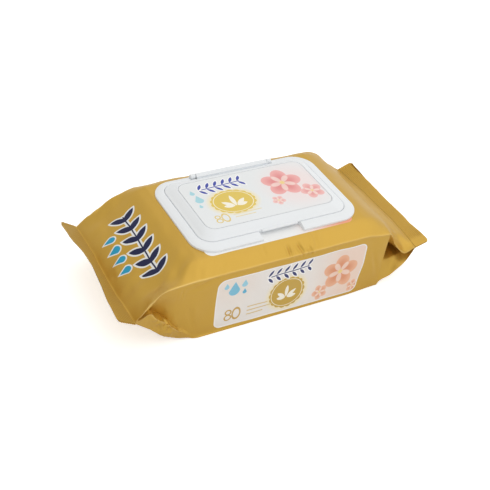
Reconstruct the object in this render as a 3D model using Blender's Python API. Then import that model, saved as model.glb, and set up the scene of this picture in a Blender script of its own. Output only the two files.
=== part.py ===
"""A sealed pack of wet wipes: a gusseted film pouch with a flip-top lid glued on it.

X runs along the pack with the short tapered end at +X, the printed side faces -Y,
and the pack rests on z = 0. The origin is on the resting face, under the middle of
the printed side. Every size is in metres.
"""
import math

import bmesh
import bpy
import numpy as np

# Stack of folded wipes, which gives the pouch its box-shaped middle
STACK_LENGTH = 0.1515
STACK_OFFSET = 0.00175
PACK_WIDTH = 0.106
TOP_HEIGHT = 0.0575
FRONT_EDGE_DROP = 0.0065
BACK_EDGE_DROP = 0.005
BASE_EDGE_RISE = 0.0005
BASE_EDGE_WIDTH = 0.0035

# Tapered ends, from the stack to the seals
LEFT_TAPER = 0.0425
RIGHT_TAPER = 0.0285
SEAL_HEIGHT = 0.0272
RIGHT_FRONT_SHOULDER = 0.015
RIGHT_BACK_SHOULDER = 0.006

# Crimped fins across both ends
FIN_LENGTH = 0.012
FIN_THICKNESS = 0.0009
FIN_CORNER = 0.002
LEFT_FIN_TILT = 28.0
RIGHT_FIN_TILT_FRONT = 23.0
RIGHT_FIN_TILT_BACK = 12.0
CRIMP_PITCH = 0.0015
CRIMP_DEPTH = 0.00018

# Front of the left end, where the side film doubles over itself above a ridge
RIDGE_TUCK = 0.007
RIDGE_GAP = 0.0022
BASE_TUCK = 0.0045

# Lid frame, a moulded flange round the dispensing opening
FRAME_LENGTH = 0.129
FRAME_WIDTH = 0.082
FRAME_CORNER = 0.016
FRAME_OFFSET_X = -0.0027
FRAME_OFFSET_Y = 0.0024
FRAME_PLATE = 0.0012
FRAME_EDGE_ROUND = 0.0004
FRAME_LIP_WIDTH = 0.0012
FRAME_LIP_RISE = 0.00035
FRAME_RIM_RISE = 0.001
FRAME_SEAT_FLOOR = 0.0011
OPENING_LENGTH = 0.078
OPENING_WIDTH = 0.042
OPENING_CORNER = 0.014
COLLAR_WALL = 0.0016
COLLAR_RISE = 0.0012
FILM_MARGIN = 0.0012

# Thumb notch in the front of the frame, and the catch behind it that the cover snaps over
NOTCH_WIDTH = 0.033
NOTCH_CORNER = 0.0015
NOTCH_UNDERCUT = 0.001
CATCH_WIDTH = 0.012
CATCH_THICKNESS = 0.001
CATCH_HEIGHT = 0.0011

# Flip cover
COVER_MARGIN_END = 0.007
COVER_MARGIN_FRONT = 0.0078
COVER_MARGIN_BACK = 0.0055
COVER_CORNER = 0.010
COVER_HEIGHT = 0.005
COVER_WALL = 0.0011
COVER_EDGE_HEIGHT = 0.0022
COVER_EDGE_ROUND = 0.0006
COVER_SLOPE_WIDTH = 0.0068
TAB_WIDTH = 0.028
TAB_REACH = 0.0016
TAB_THICKNESS = 0.0011
TAB_DROP = 0.0004

# Printed label, set in the top of the cover
LABEL_MARGIN = 0.0006
LABEL_RECESS = 0.0007
LABEL_THICKNESS = 0.00035
LABEL_CORNER = 0.007

# Hinge along the back edge
BARREL_LENGTH = 0.058
BARREL_RADIUS = 0.0019
PIN_RADIUS = 0.0010
PIN_LENGTH = 0.0026
LUG_WIDTH = 0.0036
HINGE_INSET = 0.003
WEB_THICKNESS = 0.0016

# Resealable sticker over the slit in the film
SEAL_LENGTH = 0.070
SEAL_WIDTH = 0.032
SEAL_CORNER = 0.012
SEAL_THICKNESS = 0.00035
PULL_TAB_REACH = 0.003
PULL_TAB_WIDTH = 0.015

# Clearances
SEAT_GAP = 0.0003
RUN_GAP = 0.0004

# Smoothness of the curves
CORNER_STEPS = 8
ROUND_SIDES = 24
RIBS_PER_FIN = max(4, round(FIN_LENGTH / CRIMP_PITCH))

# Places worked out from the sizes
STACK_LEFT = STACK_OFFSET - STACK_LENGTH / 2
STACK_RIGHT = STACK_OFFSET + STACK_LENGTH / 2
LEFT_SEAL = STACK_LEFT - LEFT_TAPER
RIGHT_SEAL = STACK_RIGHT + RIGHT_TAPER
FRAME_BASE = TOP_HEIGHT + SEAT_GAP
FRAME_FRONT = FRAME_OFFSET_Y - FRAME_WIDTH / 2
FRAME_BACK = FRAME_OFFSET_Y + FRAME_WIDTH / 2
PLATE_TOP = FRAME_BASE + FRAME_PLATE
RIM_TOP = PLATE_TOP + FRAME_RIM_RISE
SEAT_TOP = FRAME_BASE + FRAME_SEAT_FLOOR
COVER_BASE = SEAT_TOP + SEAT_GAP
COVER_TOP = COVER_BASE + COVER_HEIGHT
EDGE_TOP = COVER_BASE + COVER_EDGE_HEIGHT
COVER_LENGTH = FRAME_LENGTH - 2 * COVER_MARGIN_END
COVER_FRONT = FRAME_FRONT + COVER_MARGIN_FRONT
COVER_BACK = FRAME_BACK - COVER_MARGIN_BACK
COVER_WIDTH = COVER_BACK - COVER_FRONT
COVER_Y = (COVER_BACK + COVER_FRONT) / 2
LABEL_INSET = COVER_SLOPE_WIDTH + LABEL_MARGIN
LABEL_FLOOR = COVER_TOP - LABEL_RECESS
HINGE_Y = FRAME_BACK - HINGE_INSET
HINGE_Z = SEAT_TOP + SEAT_GAP + BARREL_RADIUS

# Fold lines of the tapered ends: share of the way to the seal, share of the drop left
LEFT_FRONT_TOP = ((0, 1), (0.27, 0.97), (0.48, 0.92), (0.57, 0.86), (0.69, 0.68), (0.84, 0.36), (1, 0))
LEFT_BACK_TOP = ((0, 1), (0.12, 0.94), (0.38, 0.76), (0.69, 0.44), (1, 0))
LEFT_CROWN = ((0, 1), (0.14, 0.93), (0.34, 0.74), (0.58, 0.48), (0.80, 0.24), (1, 0))
LEFT_BASE = ((0, 1), (0.07, 0.97), (0.25, 0.91), (0.52, 0.58), (1, 0))
RIGHT_FRONT_TOP = ((0, 1), (0.07, 0.9), (0.34, 0.89), (0.52, 0.41), (0.68, 0.05), (0.83, -0.15), (1, 0))
RIGHT_BACK_TOP = ((0, 1), (0.07, 0.98), (0.22, 0.90), (0.53, 0.51), (0.80, 0.18), (1, 0))
RIGHT_CROWN = ((0, 1), (0.14, 0.95), (0.39, 0.76), (0.68, 0.35), (1, 0))
TOP_EDGE_FALL = ((0, 0), (0.3, 0.18), (0.7, 0.62), (1, 1))
RIGHT_BASE = ((0, 1), (0.06, 0.89), (0.37, 0.75), (0.57, 0.57), (0.79, 0.42), (0.95, 0.12), (1, 0))
RIDGE_LINE = ((0, 0.02), (0.13, 0.10), (0.40, 0.25), (0.67, 0.44), (0.80, 0.80), (1, 0.9))
RIDGE_DEPTH = ((0, 0), (0.3, 0.4), (0.6, 1), (0.85, 0.9), (1, 0))
BASE_DEPTH = ((0, 0), (0.25, 0.6), (0.5, 1), (0.85, 0.5), (1, 0))

# Where the pouch is cut into sections: shares of each taper, each shoulder and each round corner
LEFT_SECTIONS = (0, 0.05, 0.12, 0.2, 0.3, 0.4, 0.5, 0.58, 0.66, 0.74, 0.82, 0.9, 0.97)
RIGHT_SECTIONS = (0, 0.02, 0.06, 0.14, 0.24, 0.36, 0.5, 0.64, 0.78, 0.88, 0.96)
CORNER_SECTIONS = (1.0, 0.55, 0.2, 0.0)
SHOULDER_SECTIONS = (0.9, 0.7, 0.4)
LEVEL_SECTIONS = 6


def clear_scene():
    """Remove whatever the file opened with."""
    for old in list(bpy.data.objects):
        bpy.data.objects.remove(old, do_unlink=True)


def make_material(name, colour, roughness, metallic=0.0):
    """Make a Principled material from a linear colour."""
    material = bpy.data.materials.new(name)
    material.use_nodes = True
    shader = material.node_tree.nodes["Principled BSDF"]
    shader.inputs["Base Color"].default_value = (*colour, 1.0)
    shader.inputs["Roughness"].default_value = roughness
    shader.inputs["Metallic"].default_value = metallic
    return material


def object_from(bm, name, material, sharp_angle=30.0):
    """Turn a bmesh into a named, smooth-shaded object."""
    bmesh.ops.recalc_face_normals(bm, faces=bm.faces[:])
    mesh = bpy.data.meshes.new(name)
    bm.to_mesh(mesh)
    bm.free()
    mesh.shade_smooth()
    mesh.set_sharp_from_angle(angle=math.radians(sharp_angle))
    mesh.materials.append(material)
    made = bpy.data.objects.new(name, mesh)
    bpy.context.scene.collection.objects.link(made)
    return made


def combine(target, other, operation):
    """Add an exact Boolean of another object, which then only guides the shape."""
    other.hide_render = True
    other.display_type = "WIRE"
    modifier = target.modifiers.new(operation.title(), "BOOLEAN")
    modifier.operation = operation
    modifier.solver = "EXACT"
    modifier.object = other


def smooth_curve(points, share):
    """Read a smooth curve through a few points without overshooting them."""
    xs = np.array([p[0] for p in points], float)
    ys = np.array([p[1] for p in points], float)
    slopes = np.diff(ys) / np.diff(xs)
    tangents = np.zeros(len(xs))
    tangents[0] = slopes[0]
    tangents[-1] = slopes[-1]
    for i in range(1, len(xs) - 1):
        before, after = slopes[i - 1], slopes[i]
        if before * after > 0:
            tangents[i] = 2 * before * after / (before + after)
    share = min(max(share, xs[0]), xs[-1])
    i = min(int(np.searchsorted(xs, share, side="right")) - 1, len(xs) - 2)
    step = xs[i + 1] - xs[i]
    rise = ys[i + 1] - ys[i]
    t = (share - xs[i]) / step
    start_turn = tangents[i] * step - rise
    end_turn = rise - tangents[i + 1] * step
    return float(ys[i] + t * rise + t * (1 - t) * ((1 - t) * start_turn + t * end_turn))


def past_seal(x):
    """How far x lies beyond a seal line, out along a fin."""
    return max(LEFT_SEAL - x, x - RIGHT_SEAL, 0.0)


def taper_share(x, left_start=STACK_LEFT, right_start=STACK_RIGHT):
    """Which end x lies in, and how far along its taper, from 0 to 1 at the seal."""
    if x < left_start:
        return "left", min((left_start - x) / (left_start - LEFT_SEAL), 1.0)
    if x > right_start:
        return "right", min((x - right_start) / (RIGHT_SEAL - right_start), 1.0)
    return "middle", 0.0


def fold_height(x, full, left, right, tilt, layer, left_start=STACK_LEFT, right_start=STACK_RIGHT):
    """Height of a lengthwise line of film: full over the stack, falling to the seal, then the fin."""
    end, share = taper_share(x, left_start, right_start)
    if end == "middle":
        return full
    slope = math.tan(math.radians(LEFT_FIN_TILT if end == "left" else tilt))
    seal = SEAL_HEIGHT + past_seal(x) * slope + layer + crimp_offset(x)
    kept = smooth_curve(left if end == "left" else right, share)
    return seal + (full - seal) * kept


def level_reach():
    """Where the level top film under the frame ends, at the left and at the right."""
    left = FRAME_OFFSET_X - FRAME_LENGTH / 2 - FILM_MARGIN
    right = FRAME_OFFSET_X + FRAME_LENGTH / 2 + FILM_MARGIN
    return max(left, LEFT_SEAL + LEFT_TAPER / 4), min(right, RIGHT_SEAL - RIGHT_TAPER / 4)


def crimp_offset(x):
    """Up and down ribs pressed into the two fins."""
    out = past_seal(x)
    if out <= 0 or out >= FIN_LENGTH:
        return 0.0
    return CRIMP_DEPTH * math.sin(2 * math.pi * RIBS_PER_FIN * out / FIN_LENGTH)


def corner_cut(x):
    """How far the outer corners of the fins are rounded in at x."""
    from_tip = FIN_LENGTH - past_seal(x)
    if from_tip >= FIN_CORNER:
        return 0.0
    away = 1 - max(from_tip, 0.0) / FIN_CORNER
    return FIN_CORNER * (1 - math.sqrt(max(1 - away ** 2, 0.0)))


def top_line(y, half, level, edge, crown):
    """Height of the top film: level under the frame, then rounding down to the edge fold."""
    if y <= level:
        return crown
    share = (y - level) / (half - level)
    return crown + (edge - crown) * smooth_curve(TOP_EDGE_FALL, share)


def gusset(x, low, high, full):
    """Side film tucked in as a V: points up one side as depth inside the edge and height."""
    layer = FIN_THICKNESS / 3
    middle = (low + high) / 2
    end, share = taper_share(x)
    depth = 0.0
    if end != "middle" and share < 1:
        depth = math.sqrt(full ** 2 - min(high - low, full) ** 2) / 2
    lower = (depth / 2, (low + layer + middle) / 2)
    upper = (depth / 2, (high - layer + middle) / 2)
    return [(0.0, low), (0.0, low + layer), lower, (depth, middle), upper, (0.0, high - layer)]


def ridge_fold(x, low, high):
    """Side film doubled over at the front of the left end, with a ridge below the tuck."""
    layer = FIN_THICKNESS / 3
    end, share = taper_share(x)
    tuck = RIDGE_TUCK * smooth_curve(RIDGE_DEPTH, share)
    base = BASE_TUCK * smooth_curve(BASE_DEPTH, share)
    room = high - low - 2 * layer
    gap = min(RIDGE_GAP, room / 3)
    ridge = low + layer + (room - gap) * smooth_curve(RIDGE_LINE, share)
    valley = ridge + gap
    upper = (tuck / 2, (valley + high - layer) / 2)
    return [(base, low), (base, low + layer), (0.0, ridge), (tuck, valley), upper, (0.0, high - layer)]


def section_at(x):
    """Closed outline of the pouch across Y and Z at one place along X."""
    front_tilt, back_tilt = RIGHT_FIN_TILT_FRONT, RIGHT_FIN_TILT_BACK
    middle_tilt = (front_tilt + back_tilt) / 2
    layer = FIN_THICKNESS / 2
    front_full = TOP_HEIGHT - FRONT_EDGE_DROP
    back_full = TOP_HEIGHT - BACK_EDGE_DROP
    top_front = fold_height(x, front_full, LEFT_FRONT_TOP, RIGHT_FRONT_TOP, front_tilt, layer,
                            right_start=STACK_RIGHT - RIGHT_FRONT_SHOULDER)
    top_back = fold_height(x, back_full, LEFT_BACK_TOP, RIGHT_BACK_TOP, back_tilt, layer,
                           right_start=STACK_RIGHT - RIGHT_BACK_SHOULDER)
    crown = fold_height(x, TOP_HEIGHT, LEFT_CROWN, RIGHT_CROWN, middle_tilt, layer, *level_reach())
    base_front = fold_height(x, BASE_EDGE_RISE, LEFT_BASE, RIGHT_BASE, front_tilt, -layer)
    base_back = fold_height(x, BASE_EDGE_RISE, LEFT_BASE, RIGHT_BASE, back_tilt, -layer)
    base = fold_height(x, 0.0, LEFT_BASE, RIGHT_BASE, middle_tilt, -layer)

    back_side = gusset(x, base_back, top_back, back_full - BASE_EDGE_RISE)
    front_side = gusset(x, base_front, top_front, front_full - BASE_EDGE_RISE)
    if taper_share(x)[0] == "left":
        front_side = ridge_fold(x, base_front, top_front)

    half = PACK_WIDTH / 2 - corner_cut(x)
    inner_front = front_side[0][0] + BASE_EDGE_WIDTH - half
    inner_back = half - BASE_EDGE_WIDTH
    front_level = FILM_MARGIN - FRAME_FRONT
    back_level = FILM_MARGIN + FRAME_BACK
    outline = [(y, base) for y in (inner_front, -half / 2, 0.0, half / 2, inner_back)]
    outline += [(half - depth, z) for depth, z in back_side]
    for y in (half, (half + back_level) / 2, back_level, back_level / 2, 0.0):
        outline.append((y, top_line(y, half, back_level, top_back, crown)))
    for y in (front_level / 2, front_level, (front_level + half) / 2, half):
        outline.append((-y, top_line(y, half, front_level, top_front, crown)))
    outline += [(depth - half, z) for depth, z in reversed(front_side)]
    return outline


def section_places():
    """Every place along X where the pouch has a section, from left to right."""
    rib = FIN_LENGTH / RIBS_PER_FIN / 4
    fin = [0.0]
    fin += [rib * turn for turn in range(1, 4 * RIBS_PER_FIN, 2) if rib * turn < FIN_LENGTH - FIN_CORNER]
    fin += [FIN_LENGTH - FIN_CORNER * share for share in CORNER_SECTIONS]
    places = [LEFT_SEAL - out for out in fin]
    places += [STACK_LEFT - LEFT_TAPER * share for share in LEFT_SECTIONS]
    places += [RIGHT_SEAL + out for out in fin]
    places += [STACK_RIGHT + RIGHT_TAPER * share for share in RIGHT_SECTIONS]
    places += [STACK_RIGHT - RIGHT_FRONT_SHOULDER * share for share in SHOULDER_SECTIONS]
    places += list(np.linspace(*level_reach(), LEVEL_SECTIONS))
    places.sort()
    return [x for x, after in zip(places, places[1:] + [math.inf]) if after - x > FIN_THICKNESS / 10]


def build_film_pack(material):
    """Loft the pouch through its sections and close both tips."""
    bm = bmesh.new()
    rings = [[bm.verts.new((x, y, z)) for y, z in section_at(x)] for x in section_places()]
    for near, far in zip(rings, rings[1:]):
        for i in range(len(near)):
            bm.faces.new((near[i - 1], near[i], far[i], far[i - 1]))
    bm.faces.new(rings[0][::-1])
    bm.faces.new(rings[-1])
    bmesh.ops.triangulate(bm, faces=bm.faces[:])
    return object_from(bm, "film_pack", material, sharp_angle=22.0)


def rounded_ring(length, width, corner, z, centre=(0.0, 0.0), steps=CORNER_STEPS):
    """Points anticlockwise round a rectangle with round corners, at one height."""
    points = []
    for turn, (side_x, side_y) in enumerate(((1, 1), (-1, 1), (-1, -1), (1, -1))):
        middle_x = centre[0] + side_x * (length / 2 - corner)
        middle_y = centre[1] + side_y * (width / 2 - corner)
        for step in range(steps + 1):
            angle = math.pi / 2 * (turn + step / steps)
            points.append((middle_x + corner * math.cos(angle), middle_y + corner * math.sin(angle), z))
    return points


def frame_ring(inset, z):
    """The frame's outline, moved in by inset."""
    size = (FRAME_LENGTH - 2 * inset, FRAME_WIDTH - 2 * inset, FRAME_CORNER - inset)
    return rounded_ring(*size, z, (FRAME_OFFSET_X, FRAME_OFFSET_Y))


def cover_ring(inset, z, corner=None):
    """The cover's outline, moved in by inset, or out where inset is negative."""
    size = (COVER_LENGTH - 2 * inset, COVER_WIDTH - 2 * inset)
    return rounded_ring(*size, corner or COVER_CORNER - inset, z, (FRAME_OFFSET_X, COVER_Y))


def opening_ring(wall, z):
    """The dispensing opening's outline, moved out by wall."""
    size = (OPENING_LENGTH + 2 * wall, OPENING_WIDTH + 2 * wall, OPENING_CORNER + wall)
    return rounded_ring(*size, z, (FRAME_OFFSET_X, COVER_Y))


def bridge_rings(rings, closed=False):
    """Join rings of points into one closed shape, open through the middle when closed is set."""
    bm = bmesh.new()
    loops = [[bm.verts.new(point) for point in ring] for ring in rings]
    pairs = list(zip(loops, loops[1:]))
    if closed:
        pairs.append((loops[-1], loops[0]))
    for low, high in pairs:
        for i in range(len(low)):
            bm.faces.new((low[i - 1], low[i], high[i], high[i - 1]))
    if not closed:
        bm.faces.new(loops[0][::-1])
        bm.faces.new(loops[-1])
    return bm


def plate(name, outline, thickness, material):
    """A flat piece with the given outline, standing up by its thickness."""
    top = [(x, y, z + thickness) for x, y, z in outline]
    return object_from(bridge_rings([outline, top]), name, material)


def block(name, low, high, material):
    """A plain box between two corners, used to cut or to add."""
    outline = [(low[0], low[1], low[2]), (high[0], low[1], low[2])]
    outline += [(high[0], high[1], low[2]), (low[0], high[1], low[2])]
    return plate(name, outline, high[2] - low[2], material)


def rod(name, radius, start, end, material):
    """A round bar on the hinge axis between two places along X."""
    turns = [2 * math.pi * i / ROUND_SIDES for i in range(ROUND_SIDES)]
    rings = []
    for x in (start, end):
        rings.append([(x, HINGE_Y + radius * math.cos(a), HINGE_Z + radius * math.sin(a)) for a in turns])
    return object_from(bridge_rings(rings), name, material)


def add_lug(frame, side, material):
    """One ear of the hinge with a blind socket for the cover's pin; side is -1 or 1."""
    inner = FRAME_OFFSET_X + side * (BARREL_LENGTH / 2 + RUN_GAP)
    start, end = sorted((inner, inner + side * LUG_WIDTH))
    lug = rod(f"lug_{side}", BARREL_RADIUS, start, end, material)
    low = (start, HINGE_Y - BARREL_RADIUS, SEAT_TOP - FRAME_SEAT_FLOOR / 2)
    foot = block(f"lug_foot_{side}", low, (end, HINGE_Y + BARREL_RADIUS, HINGE_Z), material)
    mouth, bottom = sorted((inner - side * RUN_GAP, inner + side * (PIN_LENGTH + RUN_GAP)))
    socket = rod(f"lug_socket_{side}", PIN_RADIUS + RUN_GAP / 2, mouth, bottom, material)
    combine(frame, lug, "UNION")
    combine(frame, foot, "UNION")
    combine(frame, socket, "DIFFERENCE")


def build_lid_frame(material):
    """Flange with a sloping rim, a seat for the cover, a collar, a notch, a catch and two lugs."""
    collar_top = SEAT_TOP + COLLAR_RISE
    rings = [frame_ring(0.0, FRAME_BASE), frame_ring(0.0, PLATE_TOP - FRAME_EDGE_ROUND)]
    rings.append(frame_ring(FRAME_EDGE_ROUND, PLATE_TOP))
    rings.append(frame_ring(FRAME_LIP_WIDTH, PLATE_TOP + FRAME_LIP_RISE))
    rings += [cover_ring(-2 * RUN_GAP, RIM_TOP), cover_ring(-RUN_GAP, RIM_TOP - RUN_GAP)]
    rings += [cover_ring(-RUN_GAP, SEAT_TOP), opening_ring(COLLAR_WALL, SEAT_TOP)]
    rings += [opening_ring(COLLAR_WALL, collar_top), opening_ring(0.0, collar_top)]
    rings.append(opening_ring(0.0, FRAME_BASE))
    frame = object_from(bridge_rings(rings, closed=True), "lid_frame", material)

    notch_back = COVER_FRONT + NOTCH_UNDERCUT
    depth = 2 * (notch_back - FRAME_FRONT)
    centre = (FRAME_OFFSET_X, notch_back - depth / 2)
    outline = rounded_ring(NOTCH_WIDTH, depth, NOTCH_CORNER, TOP_HEIGHT, centre, CORNER_STEPS // 2)
    combine(frame, plate("notch_cutter", outline, COVER_HEIGHT, material), "DIFFERENCE")

    catch_front = COVER_FRONT + COVER_WALL + RUN_GAP
    low = (FRAME_OFFSET_X - CATCH_WIDTH / 2, catch_front, SEAT_TOP - FRAME_SEAT_FLOOR / 2)
    high = (FRAME_OFFSET_X + CATCH_WIDTH / 2, catch_front + CATCH_THICKNESS, SEAT_TOP + CATCH_HEIGHT)
    combine(frame, block("catch", low, high, material), "UNION")

    reach = BARREL_LENGTH / 2 + LUG_WIDTH + 2 * RUN_GAP
    low = (FRAME_OFFSET_X - reach, HINGE_Y - BARREL_RADIUS - 2 * RUN_GAP, SEAT_TOP)
    high = (FRAME_OFFSET_X + reach, FRAME_BACK + FRAME_PLATE, COVER_TOP)
    combine(frame, block("trough_cutter", low, high, material), "DIFFERENCE")
    for side in (-1, 1):
        add_lug(frame, side, material)
    return frame


def build_flip_lid(material):
    """Shallow cover with a sloping border, a recess for the label, a tab and a hinge barrel."""
    slope_rise = COVER_TOP - EDGE_TOP
    rings = [cover_ring(COVER_SLOPE_WIDTH, LABEL_FLOOR - COVER_WALL)]
    rings.append(cover_ring(COVER_WALL, COVER_BASE + COVER_EDGE_HEIGHT / 2))
    rings.append(cover_ring(COVER_WALL, COVER_BASE))
    rings += [cover_ring(0.0, COVER_BASE), cover_ring(0.0, EDGE_TOP - COVER_EDGE_ROUND)]
    rings += [cover_ring(COVER_EDGE_ROUND / 2, EDGE_TOP - COVER_EDGE_ROUND / 3)]
    rings += [cover_ring(2 * COVER_EDGE_ROUND, EDGE_TOP)]
    rings += [cover_ring(COVER_SLOPE_WIDTH * 2 / 3, EDGE_TOP + slope_rise * 2 / 3)]
    rings += [cover_ring(COVER_SLOPE_WIDTH, COVER_TOP, LABEL_CORNER + LABEL_MARGIN)]
    rings += [cover_ring(LABEL_INSET, z, LABEL_CORNER) for z in (COVER_TOP, LABEL_FLOOR)]
    cover = object_from(bridge_rings(rings), "flip_lid", material)

    tab_top = EDGE_TOP - TAB_DROP
    low = (FRAME_OFFSET_X - TAB_WIDTH / 2, COVER_FRONT - TAB_REACH, tab_top - TAB_THICKNESS)
    high = (FRAME_OFFSET_X + TAB_WIDTH / 2, COVER_FRONT + COVER_WALL / 2, tab_top)
    combine(cover, block("thumb_tab", low, high, material), "UNION")

    start = FRAME_OFFSET_X - BARREL_LENGTH / 2
    end = FRAME_OFFSET_X + BARREL_LENGTH / 2
    combine(cover, rod("hinge_barrel", BARREL_RADIUS, start, end, material), "UNION")
    low = (start, COVER_BACK - COVER_WALL / 2, HINGE_Z - WEB_THICKNESS / 4)
    high = (end, HINGE_Y, HINGE_Z + WEB_THICKNESS * 3 / 4)
    combine(cover, block("hinge_web", low, high, material), "UNION")
    pin_out = RUN_GAP + PIN_LENGTH
    for side, tip in (("left", start - pin_out), ("right", end + pin_out)):
        root = min(max(tip, start + PIN_LENGTH), end - PIN_LENGTH)
        pin = rod(f"hinge_pin_{side}", PIN_RADIUS, min(root, tip), max(root, tip), material)
        combine(cover, pin, "UNION")
    return cover


def build_lid_label(material):
    """Printed label that fills the recess in the cover."""
    outline = cover_ring(LABEL_INSET + SEAT_GAP, LABEL_FLOOR + SEAT_GAP, LABEL_CORNER - SEAT_GAP)
    return plate("lid_label", outline, LABEL_THICKNESS, material)


def build_peel_seal(material):
    """Resealable sticker on the film inside the frame, with a pull tab at its right end."""
    middle = FRAME_OFFSET_X - PULL_TAB_REACH / 2
    outline = rounded_ring(SEAL_LENGTH, SEAL_WIDTH, SEAL_CORNER, FRAME_BASE, (middle, COVER_Y))
    seal = plate("peel_seal", outline, SEAL_THICKNESS, material)
    tab_centre = (middle + SEAL_LENGTH / 2 - PULL_TAB_REACH / 2, COVER_Y)
    tab_corner = PULL_TAB_REACH * 0.9
    tab = rounded_ring(3 * PULL_TAB_REACH, PULL_TAB_WIDTH, tab_corner, FRAME_BASE, tab_centre)
    combine(seal, plate("pull_tab", tab, SEAL_THICKNESS, material), "UNION")
    return seal


def main():
    """Build every piece of the pack."""
    clear_scene()
    gold_film = make_material("gold_film", (0.58, 0.37, 0.09), 0.38, 0.35)
    white_moulding = make_material("white_polypropylene", (0.82, 0.85, 0.88), 0.35)
    printed_label = make_material("printed_label", (0.88, 0.87, 0.80), 0.3)
    seal_film = make_material("clear_seal_film", (0.72, 0.80, 0.84), 0.25)
    build_film_pack(gold_film)
    build_lid_frame(white_moulding)
    build_flip_lid(white_moulding)
    build_lid_label(printed_label)
    build_peel_seal(seal_film)
    print("Hinge axis at y", round(HINGE_Y, 5), "and z", round(HINGE_Z, 5))


main()
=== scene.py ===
# %% [markdown]
# A sealed pack of wet wipes, dressed for a product photograph.
# The pack is a pouch of laminated gold film, crimped shut at both ends, with a white
# flip-top lid glued over the hole that the wipes come out of. Its sizes, its hinge and
# its weight are settled in the frame that is loaded first. This script only gives every
# surface its finish, so each piece below is built where the frame says it is.

import math

import bmesh
import bpy
import numpy as np
from mathutils import Matrix, Vector


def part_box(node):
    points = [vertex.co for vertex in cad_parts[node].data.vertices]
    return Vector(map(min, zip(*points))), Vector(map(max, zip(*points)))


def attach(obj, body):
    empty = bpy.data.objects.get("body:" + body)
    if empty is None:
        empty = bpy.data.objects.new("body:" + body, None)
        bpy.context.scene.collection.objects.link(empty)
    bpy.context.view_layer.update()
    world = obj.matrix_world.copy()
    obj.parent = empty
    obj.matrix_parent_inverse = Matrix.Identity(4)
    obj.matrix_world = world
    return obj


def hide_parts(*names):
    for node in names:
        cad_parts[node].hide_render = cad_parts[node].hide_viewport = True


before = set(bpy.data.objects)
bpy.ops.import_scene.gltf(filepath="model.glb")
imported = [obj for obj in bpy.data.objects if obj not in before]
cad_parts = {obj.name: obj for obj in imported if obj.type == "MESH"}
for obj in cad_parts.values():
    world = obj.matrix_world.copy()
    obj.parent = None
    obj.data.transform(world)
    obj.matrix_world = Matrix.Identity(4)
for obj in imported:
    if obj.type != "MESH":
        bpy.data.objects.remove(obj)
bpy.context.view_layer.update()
MM = 0.001

# %% [markdown]
# The camera comes first, because everything after it is judged through it. A camera can
# be aimed with a constraint, but a plain matrix keeps it free of helpers. The photograph
# was taken from the front left, looking down, and held a little out of level, so the
# matrix is built from those three angles and the distance to a point inside the pack.

# %% Camera
CAMERA_TURN = -33.51
CAMERA_RISE = 38.21
CAMERA_ROLL = 8.34
CAMERA_DISTANCE = 0.685
CAMERA_TARGET = Vector((-0.00598, 0.00254, 0.01927))
CAMERA_LENS = 69.18
CAMERA_SENSOR = 36.0


def place_camera():
    """Stand the camera at the photograph's place and angle."""
    turn, rise, roll = (math.radians(a) for a in (CAMERA_TURN, CAMERA_RISE, CAMERA_ROLL))
    back = Vector((math.sin(turn) * math.cos(rise), -math.cos(turn) * math.cos(rise), math.sin(rise)))
    level = Vector((math.cos(turn), math.sin(turn), 0.0))
    upright = back.cross(level)
    right = math.cos(roll) * level + math.sin(roll) * upright
    up = -math.sin(roll) * level + math.cos(roll) * upright
    data = bpy.data.cameras.new("camera")
    data.lens = CAMERA_LENS
    data.sensor_width = CAMERA_SENSOR
    data.clip_start = 0.01
    camera = bpy.data.objects.new("camera", data)
    bpy.context.scene.collection.objects.link(camera)
    turned = Matrix((right, up, back)).transposed().to_4x4()
    camera.matrix_world = Matrix.Translation(CAMERA_TARGET + back * CAMERA_DISTANCE) @ turned
    bpy.context.scene.camera = camera
    return camera


camera = place_camera()
print("Camera height in mm:", round(camera.location.z / MM))

# %% [markdown]
# Materials are graphs of nodes. They can be clicked together in the shader editor, or
# written down as here. One helper adds any node, sets its options and joins or fills its
# inputs. A second turns the hex colours that designers use, which are written for
# screens, into the linear light that the renderer counts in. A third starts a material,
# with what is the same all over it set on the shader itself, where an export finds it.

# %% Helpers for node trees and colours
def add(tree, kind, links=None, **settings):
    """Add one node with its settings. An input is joined to a socket or a node's first output, or set."""
    made = tree.nodes.new(kind)
    for name, value in settings.items():
        setattr(made, name, value)
    for name, value in (links or {}).items():
        if isinstance(value, bpy.types.Node):
            value = value.outputs[0]
        if isinstance(value, bpy.types.NodeSocket):
            tree.links.new(value, made.inputs[name])
        else:
            made.inputs[name].default_value = value
    return made


def colour(code):
    """Turn a screen colour such as #C8A34B into linear red, green, blue and alpha."""
    parts = [int(code[i:i + 2], 16) / 255 for i in (1, 3, 5)]
    linear = [p / 12.92 if p <= 0.04045 else ((p + 0.055) / 1.055) ** 2.4 for p in parts]
    return (*linear, 1.0)


def new_material(name, **constants):
    """Start a material whose constant values sit on the shader's own sockets."""
    material = bpy.data.materials.new(name)
    material.use_nodes = True
    shader = material.node_tree.nodes["Principled BSDF"]
    for socket, value in constants.items():
        shader.inputs[socket.replace("_", " ")].default_value = value
    return material, material.node_tree, shader


print("White in linear light:", [round(v, 3) for v in colour("#EAEEF1")])

# %% [markdown]
# The studio is a white table under one large soft box, with a dim room round it. Shiny
# film shows whatever stands round it, so the room is brighter on the right than on the
# left: that is what shades the two sloping ends differently. More lamps could do that,
# but a room with two tones leaves no extra shadows. The camera itself sees plain white,
# and the lamp stays at a level at which a colour renders about as it is written.

# %% Studio
FLOOR_SIZE = 6.0
SOFT_BOX_SIZE = 2.4
SOFT_BOX_PLACE = Vector((0.25, -0.25, 1.3))
SOFT_BOX_WATTS = 7.5
ROOM_STRENGTH = 1.26
BRIGHT_SIDE = (0.93, 0.0, -0.36)
TABLE_GLOW = 0.55
TABLE_GLOW_IN_GLOSS = 0.06


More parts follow.
